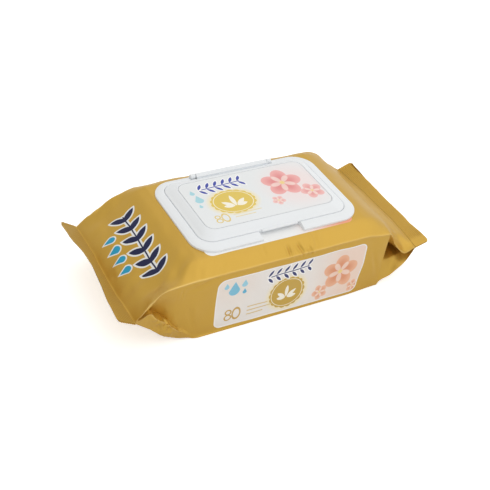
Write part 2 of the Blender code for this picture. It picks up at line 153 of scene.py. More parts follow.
def seen_directly(tree):
    """Two switches: 1 for rays from the camera or through glass, and 1 for mirror-like rays."""
    path = add(tree, "ShaderNodeLightPath")
    either = add(tree, "ShaderNodeMath", {0: path.outputs["Is Camera Ray"],
                                          1: path.outputs["Is Transmission Ray"]}, operation="MAXIMUM")
    return either.outputs[0], path.outputs["Is Glossy Ray"]


def build_floor():
    """A wide matt white table top. It looks plain white and still keeps the pack's soft shadow."""
    bm = bmesh.new()
    bmesh.ops.create_grid(bm, x_segments=1, y_segments=1, size=FLOOR_SIZE / 2)
    mesh = bpy.data.meshes.new("floor")
    bm.to_mesh(mesh)
    bm.free()
    floor = bpy.data.objects.new("floor", mesh)
    bpy.context.scene.collection.objects.link(floor)
    material, tree, shader = new_material("white_table", Roughness=0.9)
    shader.inputs["Base Color"].default_value = colour("#EEEEEE")
    shader.inputs["Emission Color"].default_value = (1.0, 1.0, 1.0, 1.0)
    seen, glossy = seen_directly(tree)
    direct = add(tree, "ShaderNodeMath", {0: seen, 1: TABLE_GLOW}, operation="MULTIPLY")
    mirrored = add(tree, "ShaderNodeMath", {0: glossy, 1: TABLE_GLOW_IN_GLOSS}, operation="MULTIPLY")
    lift = add(tree, "ShaderNodeMath", {0: direct, 1: mirrored}, operation="ADD")
    tree.links.new(lift.outputs[0], shader.inputs["Emission Strength"])
    mesh.materials.append(material)
    floor.location.z = -0.1 * MM


def build_lights():
    """One soft box above the pack, and a room that is brighter on its right."""
    lamp = bpy.data.lights.new("soft_box", "AREA")
    lamp.shape = "SQUARE"
    lamp.size = SOFT_BOX_SIZE
    lamp.energy = SOFT_BOX_WATTS
    box = bpy.data.objects.new("soft_box", lamp)
    bpy.context.scene.collection.objects.link(box)
    box.location = SOFT_BOX_PLACE
    box.rotation_euler = SOFT_BOX_PLACE.to_track_quat("Z", "Y").to_euler()

    world = bpy.context.scene.world or bpy.data.worlds.new("studio")
    bpy.context.scene.world = world
    world.use_nodes = True
    tree = world.node_tree
    tree.nodes.clear()
    seen, _ = seen_directly(tree)
    place = add(tree, "ShaderNodeTexCoord")
    towards = add(tree, "ShaderNodeVectorMath", {0: place.outputs["Generated"], 1: BRIGHT_SIDE},
                  operation="DOT_PRODUCT")
    share = add(tree, "ShaderNodeMapRange", {"Value": towards.outputs["Value"], "From Min": -0.75,
                                             "From Max": 0.35}, interpolation_type="SMOOTHSTEP")
    room = add(tree, "ShaderNodeMix", {0: share, 6: colour("#C0BEB9"), 7: colour("#D9D9D7")},
               data_type="RGBA")
    room_light = add(tree, "ShaderNodeBackground", {"Color": room.outputs[2], "Strength": ROOM_STRENGTH})
    plain = add(tree, "ShaderNodeBackground", {"Color": (1.0, 1.0, 1.0, 1.0), "Strength": 1.0})
    chosen = add(tree, "ShaderNodeMixShader", {0: seen, 1: room_light, 2: plain})
    add(tree, "ShaderNodeOutputWorld", {"Surface": chosen})


build_floor()
build_lights()
bpy.context.scene.view_settings.view_transform = "Standard"
print("Soft box height in mm:", round(SOFT_BOX_PLACE.z / MM))

# %% [markdown]
# The print on the pack is made of a few simple shapes. An image could hold it, but it
# would blur close up. Here each shape is a small group of nodes that answers one
# question for every point: how many millimetres is it to my edge, counted negative
# inside? A shape is then placed with a Mapping node and painted over what is below it.
# The first shape is the rectangle with round corners of every printed field and line.

# %% Panel shape
def shape_group(name, extra=()):
    """Start a group that takes a place in mm and will give the distance to an edge."""
    group = bpy.data.node_groups.new(name, "ShaderNodeTree")
    group.interface.new_socket("Place", in_out="INPUT", socket_type="NodeSocketVector")
    for label, value in extra:
        socket = group.interface.new_socket(label, in_out="INPUT", socket_type="NodeSocketFloat")
        socket.default_value = value
    group.interface.new_socket("Distance", in_out="OUTPUT", socket_type="NodeSocketFloat")
    return group, add(group, "NodeGroupInput")


def build_panel_shape():
    """A rectangle with round corners, half its length and half its width from the middle."""
    group, start = shape_group("panel", (("Half Length", 20.0), ("Half Width", 10.0), ("Corner", 5.0)))
    folded = add(group, "ShaderNodeVectorMath", {0: start.outputs["Place"]}, operation="ABSOLUTE")
    half = add(group, "ShaderNodeCombineXYZ", {"X": start.outputs["Half Length"],
                                               "Y": start.outputs["Half Width"], "Z": 1000.0})
    past = add(group, "ShaderNodeVectorMath", {0: folded, 1: half}, operation="SUBTRACT")
    corner = add(group, "ShaderNodeVectorMath", {0: past, 1: start.outputs["Corner"]}, operation="ADD")
    outside = add(group, "ShaderNodeVectorMath", {0: corner, 1: (0.0, 0.0, 0.0)}, operation="MAXIMUM")
    reach = add(group, "ShaderNodeVectorMath", {0: outside}, operation="LENGTH")
    left = add(group, "ShaderNodeMath", {0: reach.outputs["Value"], 1: start.outputs["Corner"]},
               operation="SUBTRACT")
    add(group, "NodeGroupOutput", {"Distance": left})
    return group


PANEL = build_panel_shape()
print("Nodes in the panel shape:", len(PANEL.nodes))

# %% [markdown]
# A blossom is drawn from its middle: the angle round it decides how far out the edge
# lies. Five ellipses could be overlapped instead, but one wave needs fewer nodes, and
# with no swell it is a plain circle, which also serves for rings, dots and round tints.

# %% Blossom shape
def build_blossom_shape():
    """A blossom: a circle whose edge swells out once for each petal."""
    group, start = shape_group("blossom", (("Radius", 10.0), ("Petals", 5.0), ("Swell", 0.25)))
    flat = add(group, "ShaderNodeSeparateXYZ", {0: start.outputs["Place"]})
    across = add(group, "ShaderNodeCombineXYZ", {"X": flat.outputs["X"], "Y": flat.outputs["Y"]})
    reach = add(group, "ShaderNodeVectorMath", {0: across}, operation="LENGTH")
    angle = add(group, "ShaderNodeMath", {0: flat.outputs["Y"], 1: flat.outputs["X"]}, operation="ARCTAN2")
    half_turns = add(group, "ShaderNodeMath", {0: start.outputs["Petals"], 1: 0.5}, operation="MULTIPLY")
    turned = add(group, "ShaderNodeMath", {0: angle, 1: half_turns}, operation="MULTIPLY")
    wave = add(group, "ShaderNodeMath", {0: turned}, operation="COSINE")
    lobe = add(group, "ShaderNodeMath", {0: wave}, operation="ABSOLUTE")
    dip = add(group, "ShaderNodeMath", {0: 1.0, 1: lobe}, operation="SUBTRACT")
    shrink = add(group, "ShaderNodeMath", {0: dip, 1: start.outputs["Swell"]}, operation="MULTIPLY")
    keep = add(group, "ShaderNodeMath", {0: 1.0, 1: shrink}, operation="SUBTRACT")
    edge = add(group, "ShaderNodeMath", {0: keep, 1: start.outputs["Radius"]}, operation="MULTIPLY")
    left = add(group, "ShaderNodeMath", {0: reach.outputs["Value"], 1: edge}, operation="SUBTRACT")
    add(group, "NodeGroupOutput", {"Distance": left})
    return group


BLOSSOM = build_blossom_shape()
print("Nodes in the blossom shape:", len(BLOSSOM.nodes))

# %% [markdown]
# A leaf is the place where two large circles overlap. A sprig repeats one leaf along a
# stem: a modulo folds every pitch of the stem onto the same leaf, and an absolute value
# mirrors it to the other side. Placing each leaf by hand would allow more play between
# them, but a printed border is regular anyway, and so it costs a single leaf.

# %% Leaf and sprig shapes
LEAF_LEAN = 52
LEAF_FOOT = (0.3, 3.2, 0.0)
STEM_HALF_WIDTH = 0.45
STEM_SHORTER_BY = 3.5
SPRIG_MARGIN = 1.2


def build_leaf_shape():
    """A pointed leaf along X: where two large circles overlap."""
    group, start = shape_group("leaf", (("Half Length", 6.0), ("Half Width", 2.0)))
    flat = add(group, "ShaderNodeSeparateXYZ", {0: start.outputs["Place"]})
    longer = add(group, "ShaderNodeMath", {0: start.outputs["Half Length"], 1: 2.0}, operation="POWER")
    wider = add(group, "ShaderNodeMath", {0: start.outputs["Half Width"], 1: 2.0}, operation="POWER")
    span = add(group, "ShaderNodeMath", {0: longer, 1: wider}, operation="SUBTRACT")
    twice = add(group, "ShaderNodeMath", {0: start.outputs["Half Width"], 1: 2.0}, operation="MULTIPLY")
    offset = add(group, "ShaderNodeMath", {0: span, 1: twice}, operation="DIVIDE")
    radius = add(group, "ShaderNodeMath", {0: offset, 1: start.outputs["Half Width"]}, operation="ADD")
    side = add(group, "ShaderNodeMath", {0: flat.outputs["Y"]}, operation="ABSOLUTE")
    shifted = add(group, "ShaderNodeMath", {0: side, 1: offset}, operation="ADD")
    across = add(group, "ShaderNodeCombineXYZ", {"X": flat.outputs["X"], "Y": shifted})
    reach = add(group, "ShaderNodeVectorMath", {0: across}, operation="LENGTH")
    left = add(group, "ShaderNodeMath", {0: reach.outputs["Value"], 1: radius}, operation="SUBTRACT")
    add(group, "NodeGroupOutput", {"Distance": left})
    return group


def build_sprig_shape(leaf):
    """A straight stem along X with pairs of leaves, one pair for each pitch."""
    sizes = (("Half Length", 24.0), ("Pitch", 8.0), ("Leaf Length", 4.6), ("Leaf Width", 1.5))
    group, start = shape_group("sprig", sizes)
    flat = add(group, "ShaderNodeSeparateXYZ", {0: start.outputs["Place"]})
    from_end = add(group, "ShaderNodeMath", {0: flat.outputs["X"], 1: start.outputs["Half Length"]},
                   operation="ADD")
    cell = add(group, "ShaderNodeMath", {0: from_end, 1: start.outputs["Pitch"]},
               operation="FLOORED_MODULO")
    half_pitch = add(group, "ShaderNodeMath", {0: start.outputs["Pitch"], 1: 0.5}, operation="MULTIPLY")
    along = add(group, "ShaderNodeMath", {0: cell, 1: half_pitch}, operation="SUBTRACT")
    side = add(group, "ShaderNodeMath", {0: flat.outputs["Y"]}, operation="ABSOLUTE")
    beside = add(group, "ShaderNodeCombineXYZ", {"X": along, "Y": side})
    tilted = add(group, "ShaderNodeMapping", {"Vector": beside, "Location": LEAF_FOOT,
                                              "Rotation": (0.0, 0.0, math.radians(LEAF_LEAN))},
                 vector_type="TEXTURE")
    one = add(group, "ShaderNodeGroup",
              {"Place": tilted, "Half Length": start.outputs["Leaf Length"],
               "Half Width": start.outputs["Leaf Width"]}, node_tree=leaf)
    along_all = add(group, "ShaderNodeMath", {0: flat.outputs["X"]}, operation="ABSOLUTE")
    past_end = add(group, "ShaderNodeMath", {0: along_all, 1: start.outputs["Half Length"]},
                   operation="SUBTRACT")
    beside_stem = add(group, "ShaderNodeMath", {0: side, 1: STEM_HALF_WIDTH}, operation="SUBTRACT")
    short_of_end = add(group, "ShaderNodeMath", {0: past_end, 1: STEM_SHORTER_BY}, operation="ADD")
    stem = add(group, "ShaderNodeMath", {0: beside_stem, 1: short_of_end}, operation="MAXIMUM")
    nearest = add(group, "ShaderNodeMath", {0: one.outputs["Distance"], 1: stem}, operation="MINIMUM")
    cut = add(group, "ShaderNodeMath", {0: past_end, 1: SPRIG_MARGIN}, operation="ADD")
    kept = add(group, "ShaderNodeMath", {0: nearest, 1: cut}, operation="MAXIMUM")
    add(group, "NodeGroupOutput", {"Distance": kept})
    return group


LEAF = build_leaf_shape()
SPRIG = build_sprig_shape(LEAF)
print("Nodes in the leaf and the sprig:", len(LEAF.nodes), len(SPRIG.nodes))

# %% [markdown]
# A water drop is half a circle below its middle. Above it the width is pulled in evenly,
# which draws the round out to a point. A curve could be traced, but this needs two sums.

# %% Drop shape
DROP_TAPER = 0.55


def build_drop_shape():
    """A water drop: round below and drawn out to a point above."""
    group, start = shape_group("drop", (("Radius", 3.0),))
    flat = add(group, "ShaderNodeSeparateXYZ", {0: start.outputs["Place"]})
    across = add(group, "ShaderNodeMath", {0: flat.outputs["X"]}, operation="ABSOLUTE")
    above = add(group, "ShaderNodeMath", {0: flat.outputs["Y"], 1: 0.0}, operation="MAXIMUM")
    below = add(group, "ShaderNodeMath", {0: flat.outputs["Y"], 1: 0.0}, operation="MINIMUM")
    taper = add(group, "ShaderNodeMath", {0: above, 1: DROP_TAPER}, operation="MULTIPLY")
    wide = add(group, "ShaderNodeMath", {0: across, 1: taper}, operation="ADD")
    joined = add(group, "ShaderNodeCombineXYZ", {"X": wide, "Y": below})
    reach = add(group, "ShaderNodeVectorMath", {0: joined}, operation="LENGTH")
    left = add(group, "ShaderNodeMath", {0: reach.outputs["Value"], 1: start.outputs["Radius"]},
               operation="SUBTRACT")
    add(group, "NodeGroupOutput", {"Distance": left})
    return group


DROP = build_drop_shape()
print("Shapes:", [group.name for group in (PANEL, BLOSSOM, LEAF, SPRIG, DROP)])

# %% [markdown]
# Painting goes from the bottom up, as in a printing press that lays down one ink after
# another. Each layer mixes its ink over the colour below wherever its shape is negative.
# A soft edge gives an airbrushed tint, a ring keeps only a band along the shape's edge.

# %% Layers of print
SHARP = 0.12


def measure(tree, place, shape, at, turn=0.0, stretch=1.0, **sizes):
    """Put a shape on the print at a place in mm and give the distance to its edge."""
    moved = add(tree, "ShaderNodeMapping",
                {"Vector": place, "Location": (*at, 0.0), "Rotation": (0.0, 0.0, math.radians(turn)),
                 "Scale": (1.0, stretch, 1.0)}, vector_type="TEXTURE")
    made = add(tree, "ShaderNodeGroup", {"Place": moved}, node_tree=shape)
    for name, value in sizes.items():
        made.inputs[name.replace("_", " ")].default_value = value
    return made.outputs["Distance"]


def mask(tree, distance, soft=SHARP, ring=None, grow=0.0):
    """1 inside a shape and 0 outside, or 1 only within a ring of that width on its edge."""
    if ring is not None:
        away = add(tree, "ShaderNodeMath", {0: distance}, operation="ABSOLUTE")
        distance, grow = away, ring / 2
    return add(tree, "ShaderNodeMapRange", {"Value": distance, "From Min": grow + soft,
                                            "From Max": grow - soft}, interpolation_type="SMOOTHSTEP")


def paint(tree, below, inside, ink, strength=1.0):
    """Lay one ink over the colour below, where inside is 1."""
    if strength < 1.0:
        inside = add(tree, "ShaderNodeMath", {0: inside, 1: strength}, operation="MULTIPLY")
    over = colour(ink) if isinstance(ink, str) else ink
    mixed = add(tree, "ShaderNodeMix", {0: inside, 6: below, 7: over}, data_type="RGBA")
    return mixed.outputs[2]


print("A sharp printed edge fades over", 2 * SHARP, "mm")

# %% [markdown]
# The motifs are built from those layers. Each takes the colour below and gives it back
# with the motif on it. All its sizes are shares of one radius or height, so that it can
# be used again at any size. Drawn curves would be freer, but they would have to be
# turned into an image first, and that blurs.

# %% Blossom, number and medallion
SPROUT_LEAVES = ((90.0, 0.22, 0.36), (38.0, 0.14, 0.3), (142.0, 0.14, 0.3), (8.0, 0.0, 0.24),
                 (172.0, 0.0, 0.24))


def paint_blossom(tree, place, below, at, radius, ink, heart, turn):
    """A blossom whose petals deepen towards its heart, with a pale rim between the petals."""
    outer = measure(tree, place, BLOSSOM, at, turn, Radius=radius, Petals=5.0, Swell=0.34)
    below = paint(tree, below, mask(tree, outer), ink)
    inner = measure(tree, place, BLOSSOM, at, turn, Radius=radius * 0.72, Petals=5.0, Swell=0.42)
    below = paint(tree, below, mask(tree, inner, radius * 0.3), heart, 0.75)
    veins = measure(tree, place, BLOSSOM, at, turn + 36.0, Radius=radius * 0.62, Petals=5.0, Swell=0.93)
    below = paint(tree, below, mask(tree, veins, radius * 0.05), "#FFF3EA", 0.55)
    middle = measure(tree, place, BLOSSOM, at, 0.0, Radius=radius * 0.13, Petals=6.0, Swell=0.2)
    return paint(tree, below, mask(tree, middle, radius * 0.03), "#F3D58A")


def paint_number(tree, place, below, at, height, ink, weight):
    """The plain number 80, the count of the sheets, drawn with three rings."""
    small, tall = height * 0.23, height * 0.5
    lower = measure(tree, place, BLOSSOM, (at[0], at[1] - small * 0.95), stretch=0.94,
                    Radius=small, Swell=0.0)
    upper = measure(tree, place, BLOSSOM, (at[0] + 0.1, at[1] + small * 0.98), stretch=0.94,
                    Radius=small * 0.86, Swell=0.0)
    nought = measure(tree, place, BLOSSOM, (at[0] + height * 0.6, at[1]), stretch=1.62,
                     Radius=tall * 0.56, Swell=0.0)
    for stroke in (lower, upper, nought):
        below = paint(tree, below, mask(tree, stroke, ring=weight), ink)
    return below


def paint_rosette(tree, place, below, at, radius, ink, stretch):
    """A gold medallion with a scalloped edge, a white line inside it and a white sprout."""
    glow = measure(tree, place, BLOSSOM, at, stretch=stretch, Radius=radius * 1.1, Swell=0.0)
    below = paint(tree, below, mask(tree, glow, radius * 0.16), "#F6E6B4", 0.8)
    outer = measure(tree, place, BLOSSOM, at, stretch=stretch, Radius=radius, Petals=18.0, Swell=0.07)
    below = paint(tree, below, mask(tree, outer), ink)
    line = measure(tree, place, BLOSSOM, at, stretch=stretch, Radius=radius * 0.86, Swell=0.0)
    below = paint(tree, below, mask(tree, line, ring=radius * 0.035), "#FBF3D9")
    for turn, out, size in SPROUT_LEAVES:
        lean = math.radians(turn)
        base = (at[0] + math.cos(lean) * radius * (size + 0.06),
                at[1] + (math.sin(lean) * radius * (size + 0.06) - radius * 0.36 + out) * stretch)
        leaf = measure(tree, place, LEAF, base, turn, Half_Length=radius * size, Half_Width=radius * 0.1)
        below = paint(tree, below, mask(tree, leaf), "#FBF6E6")
    return below


print("Motifs:", [motif.__name__ for motif in (paint_blossom, paint_number, paint_rosette)])

# %% [markdown]
# The film is a laminate: clear polyester, printed in gold on its inner side, over a
# metal-coated layer. So it is a satin metal under a clear coat, and the coat gives the
# pale sheen where the film is seen at a low angle. White ink hides the metal, so the
# printed fields lose their metallic value. Its colour could come from an image, but
# coordinates in millimetres keep the print sharp and let it sit where the press put it.

# %% Where the film is printed
FILM_GOLD = "#D3AA47"
SIDE_LABEL = dict(at=(0.6, 24.1), Half_Length=59.4, Half_Width=21.2, Corner=5.5)
TOP_LABEL = dict(at=(-4.0, 0.0), Half_Length=57.6, Half_Width=40.5, Corner=5.0)
SIDE_LABEL_RIM = 0.9
FRONT_PANEL = (-60.0, -49.5)
LID_LEVEL = (48.0, 70.0)
LEFT_SLOPE = (-114.0, -70.0)
SLOPE_LEVEL = (29.0, 60.0)
RIGHT_SEAL_PLACE = (100.0, 112.0)
SEAL_EDGE_REACH = (0.15 * MM, 0.65 * MM)
LEAN_START, LEAN_END, LEAN_BY = 28.0, 7.0, 2.8


def in_millimetres(tree, first, second):
    """Two of the object's own axes, in mm, as the X and Y of a flat print."""
    place = add(tree, "ShaderNodeTexCoord")
    scaled = add(tree, "ShaderNodeVectorMath", {0: place.outputs["Object"], "Scale": 1 / MM},
                 operation="SCALE")
    split = add(tree, "ShaderNodeSeparateXYZ", {0: scaled})
    flat = add(tree, "ShaderNodeCombineXYZ", {"X": split.outputs[first], "Y": split.outputs[second]})
    return flat, split


def rough_bump(tree, shader, *layers):
    """Fine relief from noise: each layer has a size in mm, a depth in mm and a number of octaves."""
    place = add(tree, "ShaderNodeTexCoord")
    before = {}
    for size, depth, octaves in layers:
        noise = add(tree, "ShaderNodeTexNoise",
                    {"Vector": place.outputs["Object"], "Scale": 1 / (size * MM), "Detail": octaves})
        bump = add(tree, "ShaderNodeBump",
                   {"Height": noise, "Distance": depth * MM, "Strength": 1.0, **before})
        before = {"Normal": bump}
    tree.links.new(bump.outputs[0], shader.inputs["Normal"])


def band(tree, value, low, high, within=1.0):
    """1 where a coordinate in mm lies between two values, inside another mask if one is given."""
    above = add(tree, "ShaderNodeMath", {0: value, 1: low}, operation="GREATER_THAN")
    below = add(tree, "ShaderNodeMath", {0: value, 1: high}, operation="LESS_THAN")
    both = add(tree, "ShaderNodeMath", {0: above, 1: below}, operation="MULTIPLY")
    return add(tree, "ShaderNodeMath", {0: both, 1: within}, operation="MULTIPLY")


print("Printed front field in mm:", 2 * SIDE_LABEL["Half_Length"], "by", 2 * SIDE_LABEL["Half_Width"])

# %% [markdown]
# The front strip and the left slope carry motifs in navy, light blue, peach and gold,
# placed with coordinates in millimetres on the film. Small things that come in rows, such
# as the drops, could each be a line of code. A table of them is easier to move about.

# %% Artwork on the film
FRONT_DROPS = (((-45.5, 33.5), 4.3, "#7FC4E0"), ((-38.0, 37.0), 2.3, "#9AD3E8"),
               ((-51.8, 38.2), 1.9, "#9AD3E8"), ((-37.5, 30.2), 1.6, "#5FB3D6"))
FRONT_LINES = ((17.5, 8.0), (14.2, 10.0), (10.9, 6.5))
SLOPE_DROPS = ((-104.5, 18.0), (-104.5, 8.5), (-104.5, -1.0), (-104.5, -10.5))


def side_artwork(tree, place, below):
    """The printed strip on the front: gold medallion, number, drops, sprig and peach blossoms."""
    ramp = add(tree, "ShaderNodeSeparateXYZ", {0: place})
    tint = add(tree, "ShaderNodeMapRange", {"Value": ramp.outputs["X"], "From Min": 8.0, "From Max": 50.0},
               interpolation_type="SMOOTHSTEP")
    below = paint(tree, below, tint, "#F3D6C5", 0.85)
    warm = measure(tree, place, BLOSSOM, (-48.0, 40.0), Radius=15.0, Swell=0.0)
    below = paint(tree, below, mask(tree, warm, 14.0), "#F4DCCB", 0.4)
    below = paint_rosette(tree, place, below, (-3.0, 19.0), 14.5, "#C9A441", 0.94)
    below = paint_blossom(tree, place, below, (40.0, 25.0), 14.5, "#F0B795", "#DE8B62", 14.0)
    below = paint_blossom(tree, place, below, (25.0, 10.5), 6.6, "#F3C2A6", "#E39A76", 40.0)
    below = paint_blossom(tree, place, below, (53.0, 8.5), 5.4, "#F3C2A6", "#E39A76", 5.0)
    sprig = measure(tree, place, SPRIG, (-3.0, 37.8), 3.0, Half_Length=18.6, Pitch=6.2,
                    Leaf_Length=3.3, Leaf_Width=1.05)
    below = paint(tree, below, mask(tree, sprig, grow=0.7), "#FFFFFF")
    below = paint(tree, below, mask(tree, sprig), "#27306E")
    for at, radius, ink in FRONT_DROPS:
        drop = measure(tree, place, DROP, at, Radius=radius)
        below = paint(tree, below, mask(tree, drop), ink)
    below = paint_number(tree, place, below, (-48.5, 12.5), 10.5, "#C9A14E", 1.1)
    for height, half in FRONT_LINES:
        row = measure(tree, place, PANEL, (-36.0 + half + 2.0, height - 2.0), Half_Length=half,
                      Half_Width=0.45, Corner=0.45)
        below = paint(tree, below, mask(tree, row), "#DCC185")
    return below


def slope_artwork(tree, place, below):
    """The motif on the left slope: a navy sprig with a white outline, and a row of light-blue drops."""
    sprig = measure(tree, place, SPRIG, (-91.0, 1.0), 90.0, Half_Length=33.0, Pitch=11.0,
                    Leaf_Length=6.4, Leaf_Width=2.2)
    below = paint(tree, below, mask(tree, sprig, grow=1.1), "#F4F6F6")
    below = paint(tree, below, mask(tree, sprig), "#1E2550")
    for at in SLOPE_DROPS:
        drop = measure(tree, place, DROP, at, 90.0, Radius=2.7)
        below = paint(tree, below, mask(tree, drop, grow=0.9), "#F4F6F6")
        below = paint(tree, below, mask(tree, drop), "#2FA6CF")
    return below


print("Drops printed on the film:", len(FRONT_DROPS) + len(SLOPE_DROPS))

# %% [markdown]
# The film's colour is painted in the order of the press: gold first, then white and
# coloured ink. Painted light comes last: a pale painted highlight along each pressed fold,
# painted shade on the crimped fins, where their ribs shade each other, and a painted shadow
# along the right seal. Those places aren't drawn here. They are read from the mesh, which knows them.

# %% Laminated gold film
def build_film_material():
    """Satin gold laminate: a wide soft sheen, a pale glaze at low angles, and matt where ink hides it."""
    material, tree, shader = new_material("laminated_gold_film", Coat_Weight=0.25, Coat_Roughness=0.34,
                                          Coat_IOR=1.5)
    front, split = in_millimetres(tree, "X", "Z")
    top, _ = in_millimetres(tree, "X", "Y")
    # The gold drifts a little in tone over about 33 mm, as metal-coated film does.
    drift = add(tree, "ShaderNodeTexNoise", {"Vector": front, "Scale": 0.03, "Detail": 2.0})
    gold = paint(tree, colour(FILM_GOLD), drift, "#C99F3A", 0.35)

    # The front field's right end leans with the film, which is drawn in towards its foot there.
    lean = add(tree, "ShaderNodeMapRange", {"Value": split.outputs["Z"], "From Min": LEAN_START,
                                            "From Max": LEAN_END, "To Max": LEAN_BY},
               interpolation_type="SMOOTHSTEP")
    half = add(tree, "ShaderNodeMapRange", {"Value": split.outputs["X"], "From Max": 40.0})
    slant = add(tree, "ShaderNodeMath", {0: lean, 1: half}, operation="MULTIPLY")
    shift = add(tree, "ShaderNodeCombineXYZ", {"X": slant})
    leaning = add(tree, "ShaderNodeVectorMath", {0: front, 1: shift}, operation="ADD")
    side = measure(tree, leaning, PANEL, **SIDE_LABEL)
    side_white = band(tree, split.outputs["Y"], *FRONT_PANEL, mask(tree, side))
    side_field = band(tree, split.outputs["Y"], *FRONT_PANEL, mask(tree, side, grow=-SIDE_LABEL_RIM))
    printed = side_artwork(tree, front, colour("#EFEAE7"))
    skin = paint(tree, gold, side_white, "#F7F5F3")
    skin = paint(tree, skin, side_field, printed)

    # White ink also lies under the lid, and blushes to peach on its right.
    plateau = measure(tree, top, PANEL, **TOP_LABEL)
    top_white = band(tree, split.outputs["Z"], *LID_LEVEL, mask(tree, plateau))
    blush = add(tree, "ShaderNodeMapRange", {"Value": split.outputs["X"], "From Min": 2.0,
                                             "From Max": 50.0}, interpolation_type="SMOOTHSTEP")
    top_ink = paint(tree, colour("#F1F2F3"), blush, "#F0A27E")
    skin = paint(tree, skin, top_white, top_ink)

    on_slope = band(tree, split.outputs["Z"], *SLOPE_LEVEL)
    on_slope = band(tree, split.outputs["X"], *LEFT_SLOPE, on_slope)
    skin = paint(tree, skin, on_slope, slope_artwork(tree, top, skin))

    # Painted highlight along the pressed folds; painted shade on the crimped fins, the left one darker.
    fold = add(tree, "ShaderNodeAttribute", attribute_name="fold_highlight")
    skin = paint(tree, skin, fold.outputs["Fac"], "#F6D88C", 0.6)
    # Painted shade darkens the crimped fins, more on the left fin than on the right.
    fin = add(tree, "ShaderNodeAttribute", attribute_name="crimped")
    fin_shade_share = add(tree, "ShaderNodeMapRange", {"Value": split.outputs["X"], "From Min": -120.0,
                                               "From Max": 110.0, "To Min": 0.6, "To Max": 0.15})
    crimped = add(tree, "ShaderNodeMath", {0: fin.outputs["Fac"], 1: fin_shade_share}, operation="MULTIPLY")
    skin = paint(tree, skin, crimped, "#A98532")
    # A thin shadow follows the right seal, where the fin leaves the pouch.
    reach = add(tree, "ShaderNodeAttribute", attribute_name="fin_reach")
    seal_edge = band(tree, reach.outputs["Fac"], *SEAL_EDGE_REACH)
    seal_edge = band(tree, split.outputs["X"], *RIGHT_SEAL_PLACE, seal_edge)
    skin = paint(tree, skin, seal_edge, "#6E5018", 0.6)
    # Ink hides the metal and dulls the gloss a little.
    inked = add(tree, "ShaderNodeMath", {0: side_white, 1: top_white}, operation="MAXIMUM")
    metal = add(tree, "ShaderNodeMapRange", {"Value": inked, "To Min": 0.7, "To Max": 0.0})
    rough = add(tree, "ShaderNodeMapRange", {"Value": inked, "To Min": 0.46, "To Max": 0.5})
    tree.links.new(skin, shader.inputs["Base Color"])
    tree.links.new(metal.outputs[0], shader.inputs["Metallic"])
    tree.links.new(rough.outputs[0], shader.inputs["Roughness"])
    # Slack film buckles softly every 12 mm or so. Its own grain is about 0.2 mm, too fine to show,
    # so it is drawn at 1.1 mm.
    rough_bump(tree, shader, (12.0, 0.14, 3.0), (1.1, 0.01, 2.0))
    print("Nodes in the film's material:", len(tree.nodes))
    return material


gold_film = build_film_material()

# %% [markdown]
# The lid and its frame are injection-moulded polypropylene: white, a little blue, with a
# soft waxy sheen and the faint grain of a spark-eroded mould. A flat white would look
# like paper, so the grain and a slight cloudiness are painted and bumped from noise.

# %% Moulded plastic
def build_plastic_material():
    """White polypropylene: wide soft highlights, with the gloss of flat faces broken by a fine grain."""
    material, tree, shader = new_material("moulded_polypropylene", Roughness=0.36, IOR=1.49)
    place = add(tree, "ShaderNodeTexCoord")
    cloud = add(tree, "ShaderNodeTexNoise", {"Vector": place.outputs["Object"], "Scale": 1 / (25.0 * MM),
                                             "Detail": 2.0})
    skin = paint(tree, colour("#EDF0F4"), cloud, "#E9EDF2", 0.6)
    tree.links.new(skin, shader.inputs["Base Color"])
    # Thin walls sink a little every 12 mm or so as they cool. The mould's grain is about 0.1 mm,
    # too fine to show, so it is drawn at 0.35 mm.
    rough_bump(tree, shader, (12.0, 0.03, 1.0), (0.35, 0.004, 2.0))
    return material


white_plastic = build_plastic_material()
print("Nodes in the plastic:", len(white_plastic.node_tree.nodes))

# %% [markdown]
# The label in the cover is a printed polypropylene film with a clear varnish, glossier
# than the plastic round it. The sticker on the film below the cover is clear polyester,
# tinted a little blue so that the hand finds it. Both could be images on flat cards, but
# print made of shapes stays sharp from close up.

# %% Label and sticker finishes
LABEL_DROPS = (((-44.0, 9.0), 3.2), ((-45.5, 17.5), 1.9), ((-46.0, 2.0), 1.4))
LABEL_LINES = ((11.0, 0.0), (8.0, 3.0))
TAB_PRINT_START, TAB_PRINT_FULL = 27.4, 27.8


